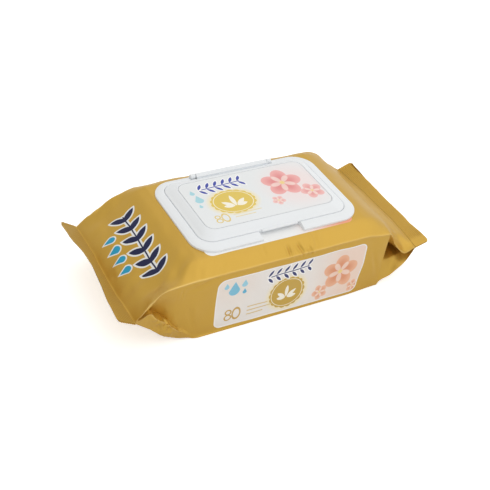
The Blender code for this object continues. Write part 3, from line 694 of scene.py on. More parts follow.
def build_label_material():
    """Varnished label: small tight highlights over a medallion, number, drops and pink blossoms."""
    material, tree, shader = new_material("varnished_polypropylene_label", Roughness=0.3,
                                          Coat_Weight=0.3, Coat_Roughness=0.15)
    place, _ = in_millimetres(tree, "X", "Y")
    skin = colour("#EAEDF0")
    blush = measure(tree, place, BLOSSOM, (30.0, 4.0), Radius=22.0, Swell=0.0)
    skin = paint(tree, skin, mask(tree, blush, 12.0), "#F8DEDC", 0.6)
    skin = paint_rosette(tree, place, skin, (-22.0, 0.5), 17.0, "#E4C757", 0.78)
    skin = paint_blossom(tree, place, skin, (22.0, 9.0), 15.5, "#F3B0AE", "#E27F80", 8.0)
    skin = paint_blossom(tree, place, skin, (38.0, -6.5), 9.0, "#F5BFBC", "#E79494", 30.0)
    skin = paint_blossom(tree, place, skin, (9.0, -9.0), 5.2, "#F7CCC8", "#EBA6A4", 50.0)
    sprig = measure(tree, place, SPRIG, (-22.0, 20.5), 3.0, Half_Length=18.9, Pitch=6.3,
                    Leaf_Length=3.5, Leaf_Width=1.15)
    skin = paint(tree, skin, mask(tree, sprig, grow=0.7), "#FFFFFF")
    skin = paint(tree, skin, mask(tree, sprig), "#2B3FA8")
    for at, radius in LABEL_DROPS:
        drop = measure(tree, place, DROP, at, Radius=radius)
        skin = paint(tree, skin, mask(tree, drop), "#A9DAE6")
    skin = paint_number(tree, place, skin, (-41.0, -14.5), 9.0, "#E6CC7E", 0.9)
    for half, lower_by in LABEL_LINES:
        row = measure(tree, place, PANEL, (-29.0 + half, -13.0 - lower_by), Half_Length=half,
                      Half_Width=0.4, Corner=0.4)
        skin = paint(tree, skin, mask(tree, row), "#EBDBAE")
    tree.links.new(skin, shader.inputs["Base Color"])
    # The label isn't quite flat. The print's orange peel, about 0.3 mm, is drawn at 0.8 mm to show.
    rough_bump(tree, shader, (14.0, 0.03, 1.0), (0.8, 0.003, 1.0))
    return material


def build_sticker_material():
    """Clear polyester sticker: the glossiest part, with a light-blue tab and the slit showing through."""
    material, tree, shader = new_material("clear_polyester_sticker", Roughness=0.16, IOR=1.57,
                                          Coat_Weight=0.4, Coat_Roughness=0.08)
    place, split = in_millimetres(tree, "X", "Y")
    tab = add(tree, "ShaderNodeMapRange", {"Value": split.outputs["X"], "From Min": TAB_PRINT_START,
                                           "From Max": TAB_PRINT_FULL})
    skin = paint(tree, colour("#DCE8EE"), tab, "#7FC4E0")
    slit = measure(tree, place, PANEL, (-4.2, 3.5), Half_Length=24.0, Half_Width=6.5, Corner=6.4)
    skin = paint(tree, skin, mask(tree, slit, ring=0.5), "#9FB9C6")
    tree.links.new(skin, shader.inputs["Base Color"])
    rough_bump(tree, shader, (6.0, 0.04, 2.0))
    return material


label_print = build_label_material()
sticker_film = build_sticker_material()
print("Materials:", [m.name for m in (gold_film, white_plastic, label_print, sticker_film)])

# %% [markdown]
# The pouch is lofted: a closed outline across the pack is worked out at many places along
# it, and neighbouring outlines are joined. Modelling it with cloth simulation is possible
# too, but the folds of a packed pouch follow a few known lines, and curves can hold them.
# Each line gives, for a share of the way from the stack to the seal, the share of its
# height that is left. The frame's solid is built on nearly the same lines, with straight
# seals and a flat front, and here the film is let loose over them.

# %% Fold lines of the pouch
STACK_LEFT, STACK_RIGHT = -74.0, 77.5
LEFT_SEAL, RIGHT_SEAL = -116.5, 106.0
HALF_WIDTH = 53.0
FILM_TOP, FRONT_EDGE, BACK_EDGE, BASE_EDGE = 57.5, 51.0, 52.5, 0.3
SEAL_HEIGHT = 27.2
LEVEL_LEFT, LEVEL_RIGHT, LEVEL_FRONT, LEVEL_BACK = -68.4, 63.0, 39.8, 44.6
LEFT_FIN, RIGHT_FIN = 13.4, 12.2
FIN_LAYER = 0.3
FRONT_FOLD_FALLS, BACK_FOLD_FALLS = STACK_RIGHT - 21.5, STACK_RIGHT - 6
SIDE_ROUNDING = 3.5
RIDGE_GAP = 2.2
RIDGE_FOLD_DEPTH = 7.0
BASE_DRAWN_IN, FRONT_BELLY = 2.4, 1.3

LEFT_FRONT_TOP = ((0, 1), (0.27, 0.97), (0.48, 0.92), (0.57, 0.86), (0.69, 0.68), (0.84, 0.36), (1, 0))
LEFT_BACK_TOP = ((0, 1), (0.12, 0.94), (0.38, 0.76), (0.69, 0.44), (1, 0))
LEFT_CROWN = ((0, 1), (0.14, 0.93), (0.34, 0.74), (0.58, 0.48), (0.80, 0.24), (1, 0))
LEFT_BASE = ((0, 1), (0.07, 0.97), (0.25, 0.91), (0.52, 0.58), (1, 0))
LEFT_BASE_FRONT = ((0, 1), (0.07, 0.97), (0.25, 0.92), (0.52, 0.66), (0.78, 0.33), (1, 0))
RIGHT_FRONT_TOP = ((0, 1), (0.08, 0.99), (0.2, 0.94), (0.32, 0.9), (0.43, 0.88), (0.58, 0.41),
                   (0.72, 0.05), (0.85, -0.15), (1, 0))
RIGHT_BACK_TOP = ((0, 1), (0.07, 0.98), (0.22, 0.90), (0.53, 0.51), (0.80, 0.18), (1, 0))
RIGHT_CROWN = ((0, 1), (0.14, 0.95), (0.39, 0.76), (0.68, 0.35), (1, 0))
RIGHT_BASE = ((0, 1), (0.06, 0.89), (0.37, 0.75), (0.57, 0.57), (0.79, 0.42), (0.95, 0.12), (1, 0))
TOP_EDGE_FALL = ((0, 0), (0.3, 0.18), (0.7, 0.62), (1, 1))
RIDGE_LINE = ((0, 0.02), (0.13, 0.10), (0.40, 0.25), (0.67, 0.44), (0.80, 0.80), (1, 0.9))
RIDGE_DEPTH = ((0, 0), (0.3, 0.4), (0.6, 1), (0.85, 0.9), (1, 0))
BASE_DEPTH = ((0, 0), (0.25, 0.6), (0.5, 1), (0.85, 0.5), (1, 0))

LEFT_SEAL_WAVE = ((-54, 0.8), (-35, 0.2), (-21, -1.2), (-4, -0.6), (8, 0.5), (20, 2.4), (38, 1.9),
                  (53, 0.6))
RIGHT_SEAL_WAVE = ((-53, 0.5), (-27, 2.4), (-4, 1.9), (15, 2.5), (33, 1.2), (49, -0.2), (53, 0.2))
LEFT_FIN_ANGLE = ((-53, 29), (-46, 31), (-36, 34), (-16, 47), (-3, 50), (7, 50), (21, 40), (35, 34),
                  (53, 33))
RIGHT_FIN_ANGLE = ((-53, 16), (-48, 13), (-28, -3), (-2, -2), (15, 0), (35, 9), (49, 20), (53, 22))
print("From seal to seal in mm:", RIGHT_SEAL - LEFT_SEAL)

# %% [markdown]
# A few points make a line only once something reads between them. Straight steps would
# leave a crease at every point, and a plain spline swings past them, so this curve keeps
# its slope level wherever the points turn. The rest of the film is spread between the
# folds, with more points close to them, where the film bends most.

# %% Read the fold lines
def curve(points, at):
    """Read a smooth curve through a few points, at one place or at many, without overshoot."""
    xs, ys = np.array(points, float).T
    slopes = np.diff(ys) / np.diff(xs)
    before, after = slopes[:-1], slopes[1:]
    both = np.where(before + after == 0, 1, before + after)
    inner = np.where(before * after > 0, 2 * before * after / both, 0)
    tangents = np.concatenate(([slopes[0]], inner, [slopes[-1]]))
    at = np.clip(at, xs[0], xs[-1])
    i = np.clip(np.searchsorted(xs, at, side="right") - 1, 0, len(xs) - 2)
    step, rise = xs[i + 1] - xs[i], ys[i + 1] - ys[i]
    t = (at - xs[i]) / step
    return ys[i] + t * rise + t * (1 - t) * ((1 - t) * (tangents[i] * step - rise)
                                             + t * (rise - tangents[i + 1] * step))


def ease(share):
    """Go from 0 to 1 with a soft start and a soft end."""
    share = np.clip(share, 0.0, 1.0)
    return share * share * (3 - 2 * share)


def fold_height(x, full, left, right, layer, left_start=STACK_LEFT, right_start=STACK_RIGHT):
    """Height of one lengthwise line of film over the place x."""
    seal = SEAL_HEIGHT + layer
    if x < left_start:
        return seal + (full - seal) * curve(left, (left_start - x) / (left_start - LEFT_SEAL))
    if x > right_start:
        return seal + (full - seal) * curve(right, (x - right_start) / (RIGHT_SEAL - right_start))
    return full


def span(start, end, count, tight="both"):
    """Points from one corner to the next, packed closer towards the folds."""
    u = np.arange(count) / count
    share = {"both": (1 - np.cos(np.pi * u)) / 2, "start": u ** 1.6, "end": 1 - (1 - u) ** 1.6,
             "even": u}[tight][:, None]
    return np.array(start) * (1 - share) + np.array(end) * share


def top_span(outer, level, edge, crown, count):
    """The top film from its edge fold in to where it lies level."""
    u = 1 - (1 - np.cos(np.pi * np.arange(count) / count)) / 2
    y = level + (outer - level) * u
    return np.column_stack((y, crown + (edge - crown) * curve(TOP_EDGE_FALL, u)))


print("Front fold 26 mm out on the left slope, in mm:",
      round(float(fold_height(-100.0, FRONT_EDGE, LEFT_FRONT_TOP, RIGHT_FRONT_TOP, FIN_LAYER)), 1))

# %% [markdown]
# One outline runs across the base, up the back with its tuck, over the top and down the
# front. Film doesn't stretch, so where its top fold sinks the side film has to go
# somewhere: it is pushed in, by as much as keeps its width. At the left front it is
# doubled into a ridge instead, and the front panel bellies a little towards its foot.

# %% Outline of the film at one place
BASE_POINTS, CORNER_POINTS, BACK_POINTS = 14, 5, 15
TOP_EDGE_POINTS, TOP_POINTS = 14, 26
FRONT_POINTS = (24, 10, 16)
BACK_FOLD = BASE_POINTS + CORNER_POINTS + 2 * BACK_POINTS
FRONT_FOLD = BACK_FOLD + 2 * TOP_EDGE_POINTS + TOP_POINTS
RIDGE_FOLD = FRONT_FOLD + FRONT_POINTS[0] + FRONT_POINTS[1]
WRINKLES_START, WRINKLES_END = -12.0, 22.0


def film_section(x):
    """The closed outline of the pouch at one place, in mm across and up."""
    layer = FIN_LAYER
    in_left = np.clip((STACK_LEFT - x) / (STACK_LEFT - LEFT_SEAL), 0, 1)
    in_right = np.clip((x - STACK_RIGHT) / (RIGHT_SEAL - STACK_RIGHT), 0, 1)
    front = fold_height(x, FRONT_EDGE, LEFT_FRONT_TOP, RIGHT_FRONT_TOP, layer,
                        right_start=FRONT_FOLD_FALLS)
    back = fold_height(x, BACK_EDGE, LEFT_BACK_TOP, RIGHT_BACK_TOP, layer,
                       right_start=BACK_FOLD_FALLS)
    crown = fold_height(x, FILM_TOP, LEFT_CROWN, RIGHT_CROWN, layer, LEVEL_LEFT, LEVEL_RIGHT)
    low = fold_height(x, BASE_EDGE, LEFT_BASE, RIGHT_BASE, -layer)
    low_front = fold_height(x, BASE_EDGE, LEFT_BASE_FRONT, RIGHT_BASE, -layer)
    base = fold_height(x, 0.0, LEFT_BASE, RIGHT_BASE, -layer)

    def tuck(high, full):
        """How deep the side film is pushed in, so that its width stays what it was."""
        # Nothing is pushed in over the stack, nor at the seals.
        if 0 in (in_left + in_right, 1 - in_left, 1 - in_right):
            return 0.0
        return math.sqrt(max(full ** 2 - min(high - low, full) ** 2, 0.0)) / 2

    back_tuck, front_tuck = tuck(back, BACK_EDGE - BASE_EDGE), tuck(front, FRONT_EDGE - BASE_EDGE)
    room = front - low_front - layer
    gap = min(RIDGE_GAP, room / 3)
    ridge = low_front + layer / 2 + (room - gap) * curve(RIDGE_LINE, in_left)
    # A tuck folds halfway up. The right front one folds higher, where it catches the light.
    middle = low + (front - low) * (0.5 + 0.14 * ease(in_right * 4))
    moved = ease((x + 60) / 110)
    belly = FRONT_BELLY * ease((x + 77) / 8) * ease((STACK_RIGHT - x) / 30)
    base_in = BASE_DRAWN_IN * curve(BASE_DEPTH, in_left) - belly
    if in_right > 0:
        fold_low, fold_high = (front_tuck * 0.3, low + (middle - low) * 0.6), (front_tuck, middle)
    else:
        fold_low = (min(0.35 * base_in, 0.0), ridge * (1 - moved) + (low + middle) / 2 * moved)
        depth = RIDGE_FOLD_DEPTH * curve(RIDGE_DEPTH, in_left)
        fold_high = (depth, (ridge + gap) * (1 - moved) + middle * moved)
    inner = HALF_WIDTH - SIDE_ROUNDING

    back_inner = (HALF_WIDTH - back_tuck, (low + back) / 2)
    parts = [span((base_in - inner, base), (inner, base), BASE_POINTS, "even"),
             span((inner, base), (HALF_WIDTH, low), CORNER_POINTS),
             span((HALF_WIDTH, low), back_inner, BACK_POINTS),
             span(back_inner, (HALF_WIDTH, back), BACK_POINTS),
             top_span(HALF_WIDTH, LEVEL_BACK, back, crown, TOP_EDGE_POINTS),
             span((LEVEL_BACK, crown), (-LEVEL_FRONT, crown), TOP_POINTS, "even"),
             top_span(HALF_WIDTH, LEVEL_FRONT, front, crown, TOP_EDGE_POINTS)[::-1] * (-1, 1)]
    side = [(0.0, front), fold_high, fold_low, (base_in, low_front)]
    for near, far, count in zip(side, side[1:], FRONT_POINTS):
        parts.append(span((near[0] - HALF_WIDTH, near[1]), (far[0] - HALF_WIDTH, far[1]), count))
    parts.append(span((base_in - HALF_WIDTH, low_front), (base_in - inner, base), CORNER_POINTS))
    return np.concatenate(parts)


# The outlines stand closest where the film bends most and where the short creases are.
left_rows = STACK_LEFT - (STACK_LEFT - LEFT_SEAL) * np.linspace(1, 0, 92)
middle_rows = np.concatenate((np.linspace(STACK_LEFT, WRINKLES_START, 56)[1:],
                              np.linspace(WRINKLES_START, WRINKLES_END, 76)[1:],
                              np.linspace(WRINKLES_END, STACK_RIGHT, 60)[1:]))
right_rows = STACK_RIGHT + (RIGHT_SEAL - STACK_RIGHT) * np.linspace(0, 1, 84)[1:]
BODY_ROWS = np.concatenate((left_rows, middle_rows, right_rows))
print("Sections along the pouch:", len(BODY_ROWS), "with", len(film_section(0.0)), "points each")

# %% [markdown]
# A filled pouch is never as straight as its fold lines. Its seals wave up and down, the
# film ripples softly, and short creases run in from the folds. All of these move the
# points of the loft. The ripples could be sculpted, but a few long sine waves with a
# fixed seed give the same soft unevenness and come out the same every time.

# %% Ripples and creases
TOP_COLUMN = 60
# Each crease: its start, its end, its width and its depth, in mm.
CREASES = (
    ((-4.0, -46.0, 55.2), (-4.7, -53.2, 50.5), 1.0, 1.2),
    ((3.6, -46.3, 55.2), (5.4, -53.2, 50.0), 1.1, 1.4), ((8.2, -49.0, 53.6), (6.2, -53.4, 49.6), 0.8, -1.0),
    ((10.7, -50.2, 53.0), (12.4, -53.6, 49.0), 0.9, 1.3),
    ((-21.8, -41.9, 57.2), (-22.4, -48.9, 54.0), 1.1, 0.5),
    ((18.5, -41.8, 57.2), (16.4, -52.3, 51.5), 1.6, 0.6),
    ((-52.0, -47.0, 55.0), (-60.0, -53.4, 49.0), 1.6, 0.5),
    ((-66.0, -42.0, 57.0), (-73.0, -52.5, 51.0), 1.8, 0.5),
    ((-72.0, -31.0, 56.0), (-92.0, -50.0, 45.0), 3.2, 1.1),
    ((-84.0, -53.5, 47.0), (-86.0, -53.5, 33.0), 0.9, 0.5),
    ((-79.0, -53.2, 30.0), (-74.0, -53.2, 8.0), 1.8, 0.5),
    ((-62.0, -53.5, 49.0), (-80.0, -53.5, 44.5), 1.4, 0.9),
    ((91.0, 40.0, 38.5), (92.0, -34.0, 35.0), 1.1, 0.75),
    ((-106.0, -2.0, 31.5), (-113.5, -9.0, 28.5), 1.4, 1.0),
    ((-92.0, 36.0, 42.0), (-112.0, 30.0, 30.0), 2.6, 0.9),
    ((-94.0, -22.0, 40.0), (-113.0, -28.0, 29.0), 2.8, 1.1),
    ((-97.0, 12.0, 38.0), (-115.0, 18.0, 29.5), 2.4, 1.0),
    ((84.0, -40.0, 44.0), (98.0, -46.0, 31.0), 2.2, 0.7), ((88.0, 0.0, 41.0), (103.0, 3.0, 30.0), 2.4, 0.6),
    ((86.0, 28.0, 43.0), (103.0, 33.0, 29.5), 2.2, 0.6),
    ((90.0, -20.0, 39.0), (104.0, -17.0, 30.5), 2.0, 0.5),
    ((66.0, -52.0, 36.0), (75.0, -53.4, 12.0), 1.6, 0.5),
)


def ripple(places, size, seed, count=9):
    """Soft unevenness between -1 and 1: sine waves of about one size, in many directions."""
    chance = np.random.default_rng(seed)
    total = np.zeros(places.shape[:-1])
    for _ in range(count):
        way = chance.normal(size=3)
        way /= np.linalg.norm(way) * size * chance.uniform(0.7, 1.4)
        total += np.sin(places @ way * 2 * math.pi + chance.uniform(0, 2 * math.pi))
    return total / math.sqrt(count)


def normals_of(grid):
    """The outward direction at every point of the grid."""
    along = np.gradient(grid, axis=0)
    around = np.roll(grid, -1, axis=1) - np.roll(grid, 1, axis=1)
    normal = np.cross(around, along)
    length = np.linalg.norm(normal, axis=2, keepdims=True)
    normal = normal / np.maximum(length, 1e-9)
    # The middle of the top has to face up. If it doesn't, all of them are turned round.
    return normal * np.sign(normal[len(grid) // 2, TOP_COLUMN, 2])


def add_creases(grid, normal):
    """Press each short crease into the film, fading towards its ends."""
    for start, end, width, depth in CREASES:
        start, end = np.array(start), np.array(end)
        way = end - start
        share = np.clip((grid - start) @ way / (way @ way), -0.3, 1.3)
        away = np.linalg.norm(grid - (start + share[..., None] * way), axis=2)
        fade = ease(1 - np.abs(share - 0.5) / 0.8)
        ridge = np.exp(-away / width) - 0.55 * np.exp(-((away - 1.8 * width) / width) ** 2)
        grid = grid - normal * (depth * fade * ridge)[..., None]
    return grid


print("Creases pressed into the film:", len(CREASES))

# %% [markdown]
# Under the lid the film is held flat by the frame, and on the table by the weight, so the
# loosening fades out there. The film crumples sharply beside the doubled fold at the left
# front. Last, each long fold is drawn out to a narrow bead, as pressed film keeps it: that
# line catches the light and parts the faces. A bevel would round the fold off instead.

# %% Loosen the film
RIPPLE_SIZE, FINE_RIPPLE_SIZE, FINE_RIPPLE_SHARE = 30.0, 12.0, 0.35
CRUMPLE_DEPTH, CRUMPLE_SIZE, CRUMPLE_COLUMNS = 1.2, 8.0, 12.0
BEAD_HEIGHT, BEAD_WIDTH = 0.32, 0.6
RIDGE_BEAD_HEIGHT = 0.75
SEAL_BEAD_HEIGHT = 0.25


def loosened(grid):
    """Wave the seals, ripple the film and press in the creases, but keep it flat below the lid."""
    x, y = grid[..., 0], grid[..., 1]
    left = ease((STACK_LEFT - x) / (STACK_LEFT - LEFT_SEAL))
    right = ease((x - STACK_RIGHT) / (RIGHT_SEAL - STACK_RIGHT))
    grid[..., 2] += left * curve(LEFT_SEAL_WAVE, y) + right * curve(RIGHT_SEAL_WAVE, y)
    normal = normals_of(grid)
    beyond = np.maximum.reduce([LEVEL_LEFT - x, x - LEVEL_RIGHT, -LEVEL_FRONT - y, y - LEVEL_BACK])
    free = np.where(grid[..., 2] > 40, ease((beyond + 1.5) / 8.0), 1.0) * ease(grid[..., 2] / 9.0)
    slope = np.maximum(left, right)
    amount = free * (0.3 + 0.4 * ease(slope * 3) * (1 - ease(slope * 4 - 3)))
    relief = (ripple(grid * (1, 0.6, 1), RIPPLE_SIZE, 7)
              + FINE_RIPPLE_SHARE * ripple(grid, FINE_RIPPLE_SIZE, 19))
    grid = grid + normal * (amount * relief)[..., None]
    beside_ridge = np.exp(-((np.arange(grid.shape[1]) - RIDGE_FOLD) / CRUMPLE_COLUMNS) ** 2)
    crumple = ease(1 - np.abs(x + 95) / 18) * beside_ridge
    sharp = 0.56 - np.abs(ripple(grid, CRUMPLE_SIZE, 31))
    grid = grid + normal * (CRUMPLE_DEPTH * crumple * sharp)[..., None]
    return add_creases(grid, normals_of(grid))


def beside(grid, column, width):
    """1 on one lengthwise fold, falling to 0 over a width in mm."""
    away = np.linalg.norm(grid - grid[:, column:column + 1], axis=2)
    return np.exp(-(away / width) ** 2)


def pinched(grid):
    """Draw each lengthwise fold out to a narrow bead, as pressed film keeps it."""
    normal = normals_of(grid)
    for column in (BACK_FOLD, FRONT_FOLD):
        bead = BEAD_HEIGHT * beside(grid, column, BEAD_WIDTH)
        grid = grid + normal[:, column:column + 1] * bead[..., None]
    folded = ease((STACK_LEFT - 6 - grid[:, RIDGE_FOLD, 0]) / 8)[:, None]
    grid[:, RIDGE_FOLD] += normal[:, RIDGE_FOLD] * folded * RIDGE_BEAD_HEIGHT
    for row in (0, -1):
        grid[row] += normal[row] * SEAL_BEAD_HEIGHT
    return grid


print("Height of a pressed fold's bead in mm:", BEAD_HEIGHT)

# %% [markdown]
# Beyond each seal the two layers of film run on together as a flat fin with clipped
# corners. A separate strip could be joined on, but carrying the same points further out
# keeps the pouch one closed skin. Each place on the seal has its own tilt, so that the
# fin bows and waves as it does on the pack.

# %% Fins and the whole grid of points
FIN_CORNER = 2.5


def add_fin(grid, seal_row, length, angles, sign, rows=52):
    """Carry the film on past a seal as a crimped fin, tilted by its own angle at every place."""
    root = grid[seal_row]
    out = np.linspace(0, length, rows + 1)[1:]
    tilt = np.radians(curve(angles, root[:, 1]))
    tip = np.empty((rows, *root.shape))
    for i, reach in enumerate(out):
        corner = max(reach - (length - FIN_CORNER), 0.0) / FIN_CORNER
        half = HALF_WIDTH - FIN_CORNER * (1 - math.sqrt(max(1 - corner ** 2, 0.0)))
        tip[i, :, 0] = root[:, 0] + sign * reach * np.cos(tilt)
        tip[i, :, 1] = root[:, 1] * half / HALF_WIDTH
        tip[i, :, 2] = root[:, 2] + reach * np.sin(tilt)
    return tip, out


def build_pouch_grid():
    """All the points of the pouch, and for each how far out on a fin it lies."""
    sections = [film_section(x) for x in BODY_ROWS]
    grid = np.array([np.column_stack((np.full(len(s), x), s)) for x, s in zip(BODY_ROWS, sections)])
    for _ in range(2):
        soft = (np.roll(grid, 1, axis=1) + 2 * grid + np.roll(grid, -1, axis=1)) / 4
        grid = np.concatenate((grid[:1], soft[1:-1], grid[-1:]))
    grid = pinched(loosened(grid))
    left, left_out = add_fin(grid, 0, LEFT_FIN, LEFT_FIN_ANGLE, -1)
    right, right_out = add_fin(grid, -1, RIGHT_FIN, RIGHT_FIN_ANGLE, 1)
    out = np.concatenate((left_out[::-1], np.zeros(len(grid)), right_out))
    return np.concatenate((left[::-1], grid, right)), out


pouch_grid, fin_reach = build_pouch_grid()
print("Pouch in mm:", np.round(np.ptp(pouch_grid.reshape(-1, 3), axis=0), 1))

# %% [markdown]
# The ribs of a crimped seal are one short movement repeated, so a small Geometry Nodes
# tree makes them: it lifts every point by a sine of its distance from the seal line. The
# pitch and the depth stay open as inputs. The same ribs could be drawn as a bump in the
# material, but at the fin's edge only real shape shows.

# %% Crimp ribs
RIB_PITCH = 1.45
RIB_DEPTH = 0.2


def build_crimp_tree():
    """Lift points by a sine of the stored distance, as far as the stored strength allows."""
    tree = bpy.data.node_groups.new("crimp_ribs", "GeometryNodeTree")
    for name, kind in (("Geometry", "Geometry"), ("Pitch", "Float"), ("Depth", "Float"),
                       ("Finish", "Material")):
        tree.interface.new_socket(name, in_out="INPUT", socket_type="NodeSocket" + kind)
    tree.interface.new_socket("Geometry", in_out="OUTPUT", socket_type="NodeSocketGeometry")
    start, end = add(tree, "NodeGroupInput"), add(tree, "NodeGroupOutput")
    reach = add(tree, "GeometryNodeInputNamedAttribute", {"Name": "fin_reach"}, data_type="FLOAT")
    strength = add(tree, "GeometryNodeInputNamedAttribute", {"Name": "crimped"}, data_type="FLOAT")
    turns = add(tree, "ShaderNodeMath", {0: reach, 1: start.outputs["Pitch"]}, operation="DIVIDE")
    angle = add(tree, "ShaderNodeMath", {0: turns, 1: 2 * math.pi}, operation="MULTIPLY")
    wave = add(tree, "ShaderNodeMath", {0: angle}, operation="SINE")
    deep = add(tree, "ShaderNodeMath", {0: wave, 1: start.outputs["Depth"]}, operation="MULTIPLY")
    kept = add(tree, "ShaderNodeMath", {0: deep, 1: strength}, operation="MULTIPLY")
    lift = add(tree, "ShaderNodeCombineXYZ", {"Z": kept})
    moved = add(tree, "GeometryNodeSetPosition", {"Geometry": start.outputs[0], "Offset": lift})
    solid = add(tree, "GeometryNodeRealizeInstances", {"Geometry": moved})
    dressed = add(tree, "GeometryNodeSetMaterial", {"Geometry": solid,
                                                    "Material": start.outputs["Finish"]})
    tree.links.new(dressed.outputs[0], end.inputs[0])
    return tree


def through_nodes(obj, tree, **values):
    """Run an object through a node tree with named inputs and keep the result as a plain mesh."""
    modifier = obj.modifiers.new(tree.name, "NODES")
    modifier.node_group = tree
    for item in tree.interface.items_tree:
        if item.in_out == "INPUT" and item.name in values:
            modifier[item.identifier] = values[item.name]
    graph = bpy.context.evaluated_depsgraph_get()
    graph.update()
    mesh = bpy.data.meshes.new_from_object(obj.evaluated_get(graph), depsgraph=graph)
    obj.modifiers.clear()
    obj.data = mesh
    return obj


crimp_ribs = build_crimp_tree()
print("Inputs of the ribs:", [i.name for i in crimp_ribs.interface.items_tree if i.in_out == "INPUT"])

# %% [markdown]
# Now the points become one closed skin. Besides its shape, each point is told how far out
# on a fin it lies, how strongly it is crimped and how near it lies to a pressed fold, where a
# highlight is painted. The ribs and the film's material read those numbers from the mesh.
# Painting them by place would work too, until a fold is moved and its highlight stays behind.

# %% The finished pouch
FOLD_HIGHLIGHT_WIDTH, RIDGE_HIGHLIGHT_WIDTH = 0.65, 0.7
SHARP_FILM, SHARP_PLASTIC = 50.0, 35.0


def link_mesh(name, bm, material, sharp):
    """Make a smooth-shaded object with one material from a bmesh in mm."""
    bmesh.ops.recalc_face_normals(bm, faces=bm.faces[:])
    bmesh.ops.scale(bm, vec=(MM, MM, MM), verts=bm.verts[:])
    mesh = bpy.data.meshes.new(name)
    bm.to_mesh(mesh)
    bm.free()
    mesh.materials.append(material)
    mesh.shade_smooth()
    mesh.set_sharp_from_angle(angle=math.radians(sharp))
    made = bpy.data.objects.new(name, mesh)
    bpy.context.scene.collection.objects.link(made)
    return made


def build_pouch():
    """Join the sections, store the fins' distances and crimp the ribs."""
    bm = bmesh.new()
    rows = [[bm.verts.new(p) for p in row] for row in pouch_grid]
    for near, far in zip(rows, rows[1:]):
        for i in range(len(near)):
            bm.faces.new((near[i - 1], near[i], far[i], far[i - 1]))
    # The two tips of the fins are closed with one face each.
    bm.faces.new(rows[0][::-1])
    bm.faces.new(rows[-1])
    pouch = link_mesh("pouch", bm, gold_film, SHARP_FILM)
    x, y = pouch_grid[..., 0].ravel(), pouch_grid[..., 1].ravel()
    reach = np.repeat(fin_reach, pouch_grid.shape[1])
    right = x > 0
    length = np.where(right, RIGHT_FIN, LEFT_FIN)
    strength = ease(reach / 0.6) * ease((length - reach) / 0.8)
    strength *= np.where(right, ease((y + 47) / 4), 1.0)
    # The painted highlight lies along the back and front folds, strongest at the left front, and along the
    # doubled ridge there.
    folds = np.maximum(*[beside(pouch_grid, column, FOLD_HIGHLIGHT_WIDTH).ravel()
                         for column in (BACK_FOLD, FRONT_FOLD)])
    folds *= 0.5 + 0.5 * ease((-58 - x) / 12)
    ridge = beside(pouch_grid, RIDGE_FOLD, RIDGE_HIGHLIGHT_WIDTH).ravel() * ease((STACK_LEFT - 6 - x) / 8)
    folds = np.maximum(folds, 0.8 * ridge) * (reach == 0)
    for name, values in (("fin_reach", reach * MM), ("crimped", strength), ("fold_highlight", folds)):
        layer = pouch.data.attributes.new(name, "FLOAT", "POINT")
        layer.data.foreach_set("value", values.astype(np.float32))
    return through_nodes(pouch, crimp_ribs, Pitch=RIB_PITCH * MM, Depth=RIB_DEPTH * MM, Finish=gold_film)


pouch = build_pouch()
print("Pouch faces:", len(pouch.data.polygons))

# %% [markdown]
# The lid parts are plain moulded shapes, so they are built from closed outlines stacked
# like the rings of a turned bowl. Fine rings at each edge give the small radius that a
# mould leaves, and that radius catches the light. A bevel modifier could round the edges,
# but here each radius is set by itself, as in the mould.

# %% Rings and stacks
LID_X = -2.7
FRAME = dict(size=(129.0, 82.0), corner=16.0, centre=(LID_X, 2.4))
COVER = dict(size=(115.0, 68.7), corner=10.0, centre=(LID_X, 3.55))
MOUTH = dict(size=(78.0, 42.0), corner=14.0, centre=(LID_X, 3.55))
SEAT_TOP, PLATE_TOP, RIM_TOP = 58.9, 59.0, 60.3
COVER_BASE, EDGE_TOP, COVER_TOP = 59.2, 60.85, 64.2
CORNER_STEPS = 20


def ring(shape, inset, z, corner=None, steps=CORNER_STEPS):
    """Points round a rectangle with round corners, moved in by inset, at one height."""
    corner = corner or shape["corner"] - inset
    points = []
    for turn, (sx, sy) in enumerate(((1, 1), (-1, 1), (-1, -1), (1, -1))):
        mx = shape["centre"][0] + sx * (shape["size"][0] / 2 - inset - corner)
        my = shape["centre"][1] + sy * (shape["size"][1] / 2 - inset - corner)
        for step in range(steps + 1):
            angle = math.pi / 2 * (turn + step / steps)
            points.append((mx + corner * math.cos(angle), my + corner * math.sin(angle), z))
    return points


def between(outer, inner, shares):
    """Rings part of the way between two others: shares of the way across and of the way up."""
    made = []
    for across, up in shares:
        a, b = np.array(outer), np.array(inner)
        mixed = a * (1 - across) + b * across
        mixed[:, 2] = a[:, 2] * (1 - up) + b[:, 2] * up
        made.append([tuple(p) for p in mixed])
    return made


def stack(name, rings, material, through=False):
    """Join rings into one closed body; through leaves a hole down the middle."""
    bm = bmesh.new()
    loops = [[bm.verts.new(p) for p in points] for points in rings]
    for low, high in list(zip(loops, loops[1:])) + ([(loops[-1], loops[0])] if through else []):
        for i in range(len(low)):
            bm.faces.new((low[i - 1], low[i], high[i], high[i - 1]))
    if not through:
        bm.faces.new(loops[0][::-1])
        bm.faces.new(loops[-1])
    return link_mesh(name, bm, material, SHARP_PLASTIC)


print("Points in one ring:", len(ring(FRAME, 0.0, 0.0)))

# %% [markdown]
# The hinge, the tabs and the notch are bars and bricks that are joined to the stacked
# bodies or cut out of them with Booleans. They could be modelled face by face, but a
# Boolean keeps each of them a simple shape with sizes of its own.

# %% Bars, bricks and Booleans
HINGE_Y, HINGE_Z = 40.4, 61.1
BARREL_HALF, BARREL_RADIUS = 29.0, 1.9
BAR_END_RADIUS = 0.25
BARREL_SIDES, PIN_SIDES = 40, 24
SHARP_BRICK_CORNER = 0.02


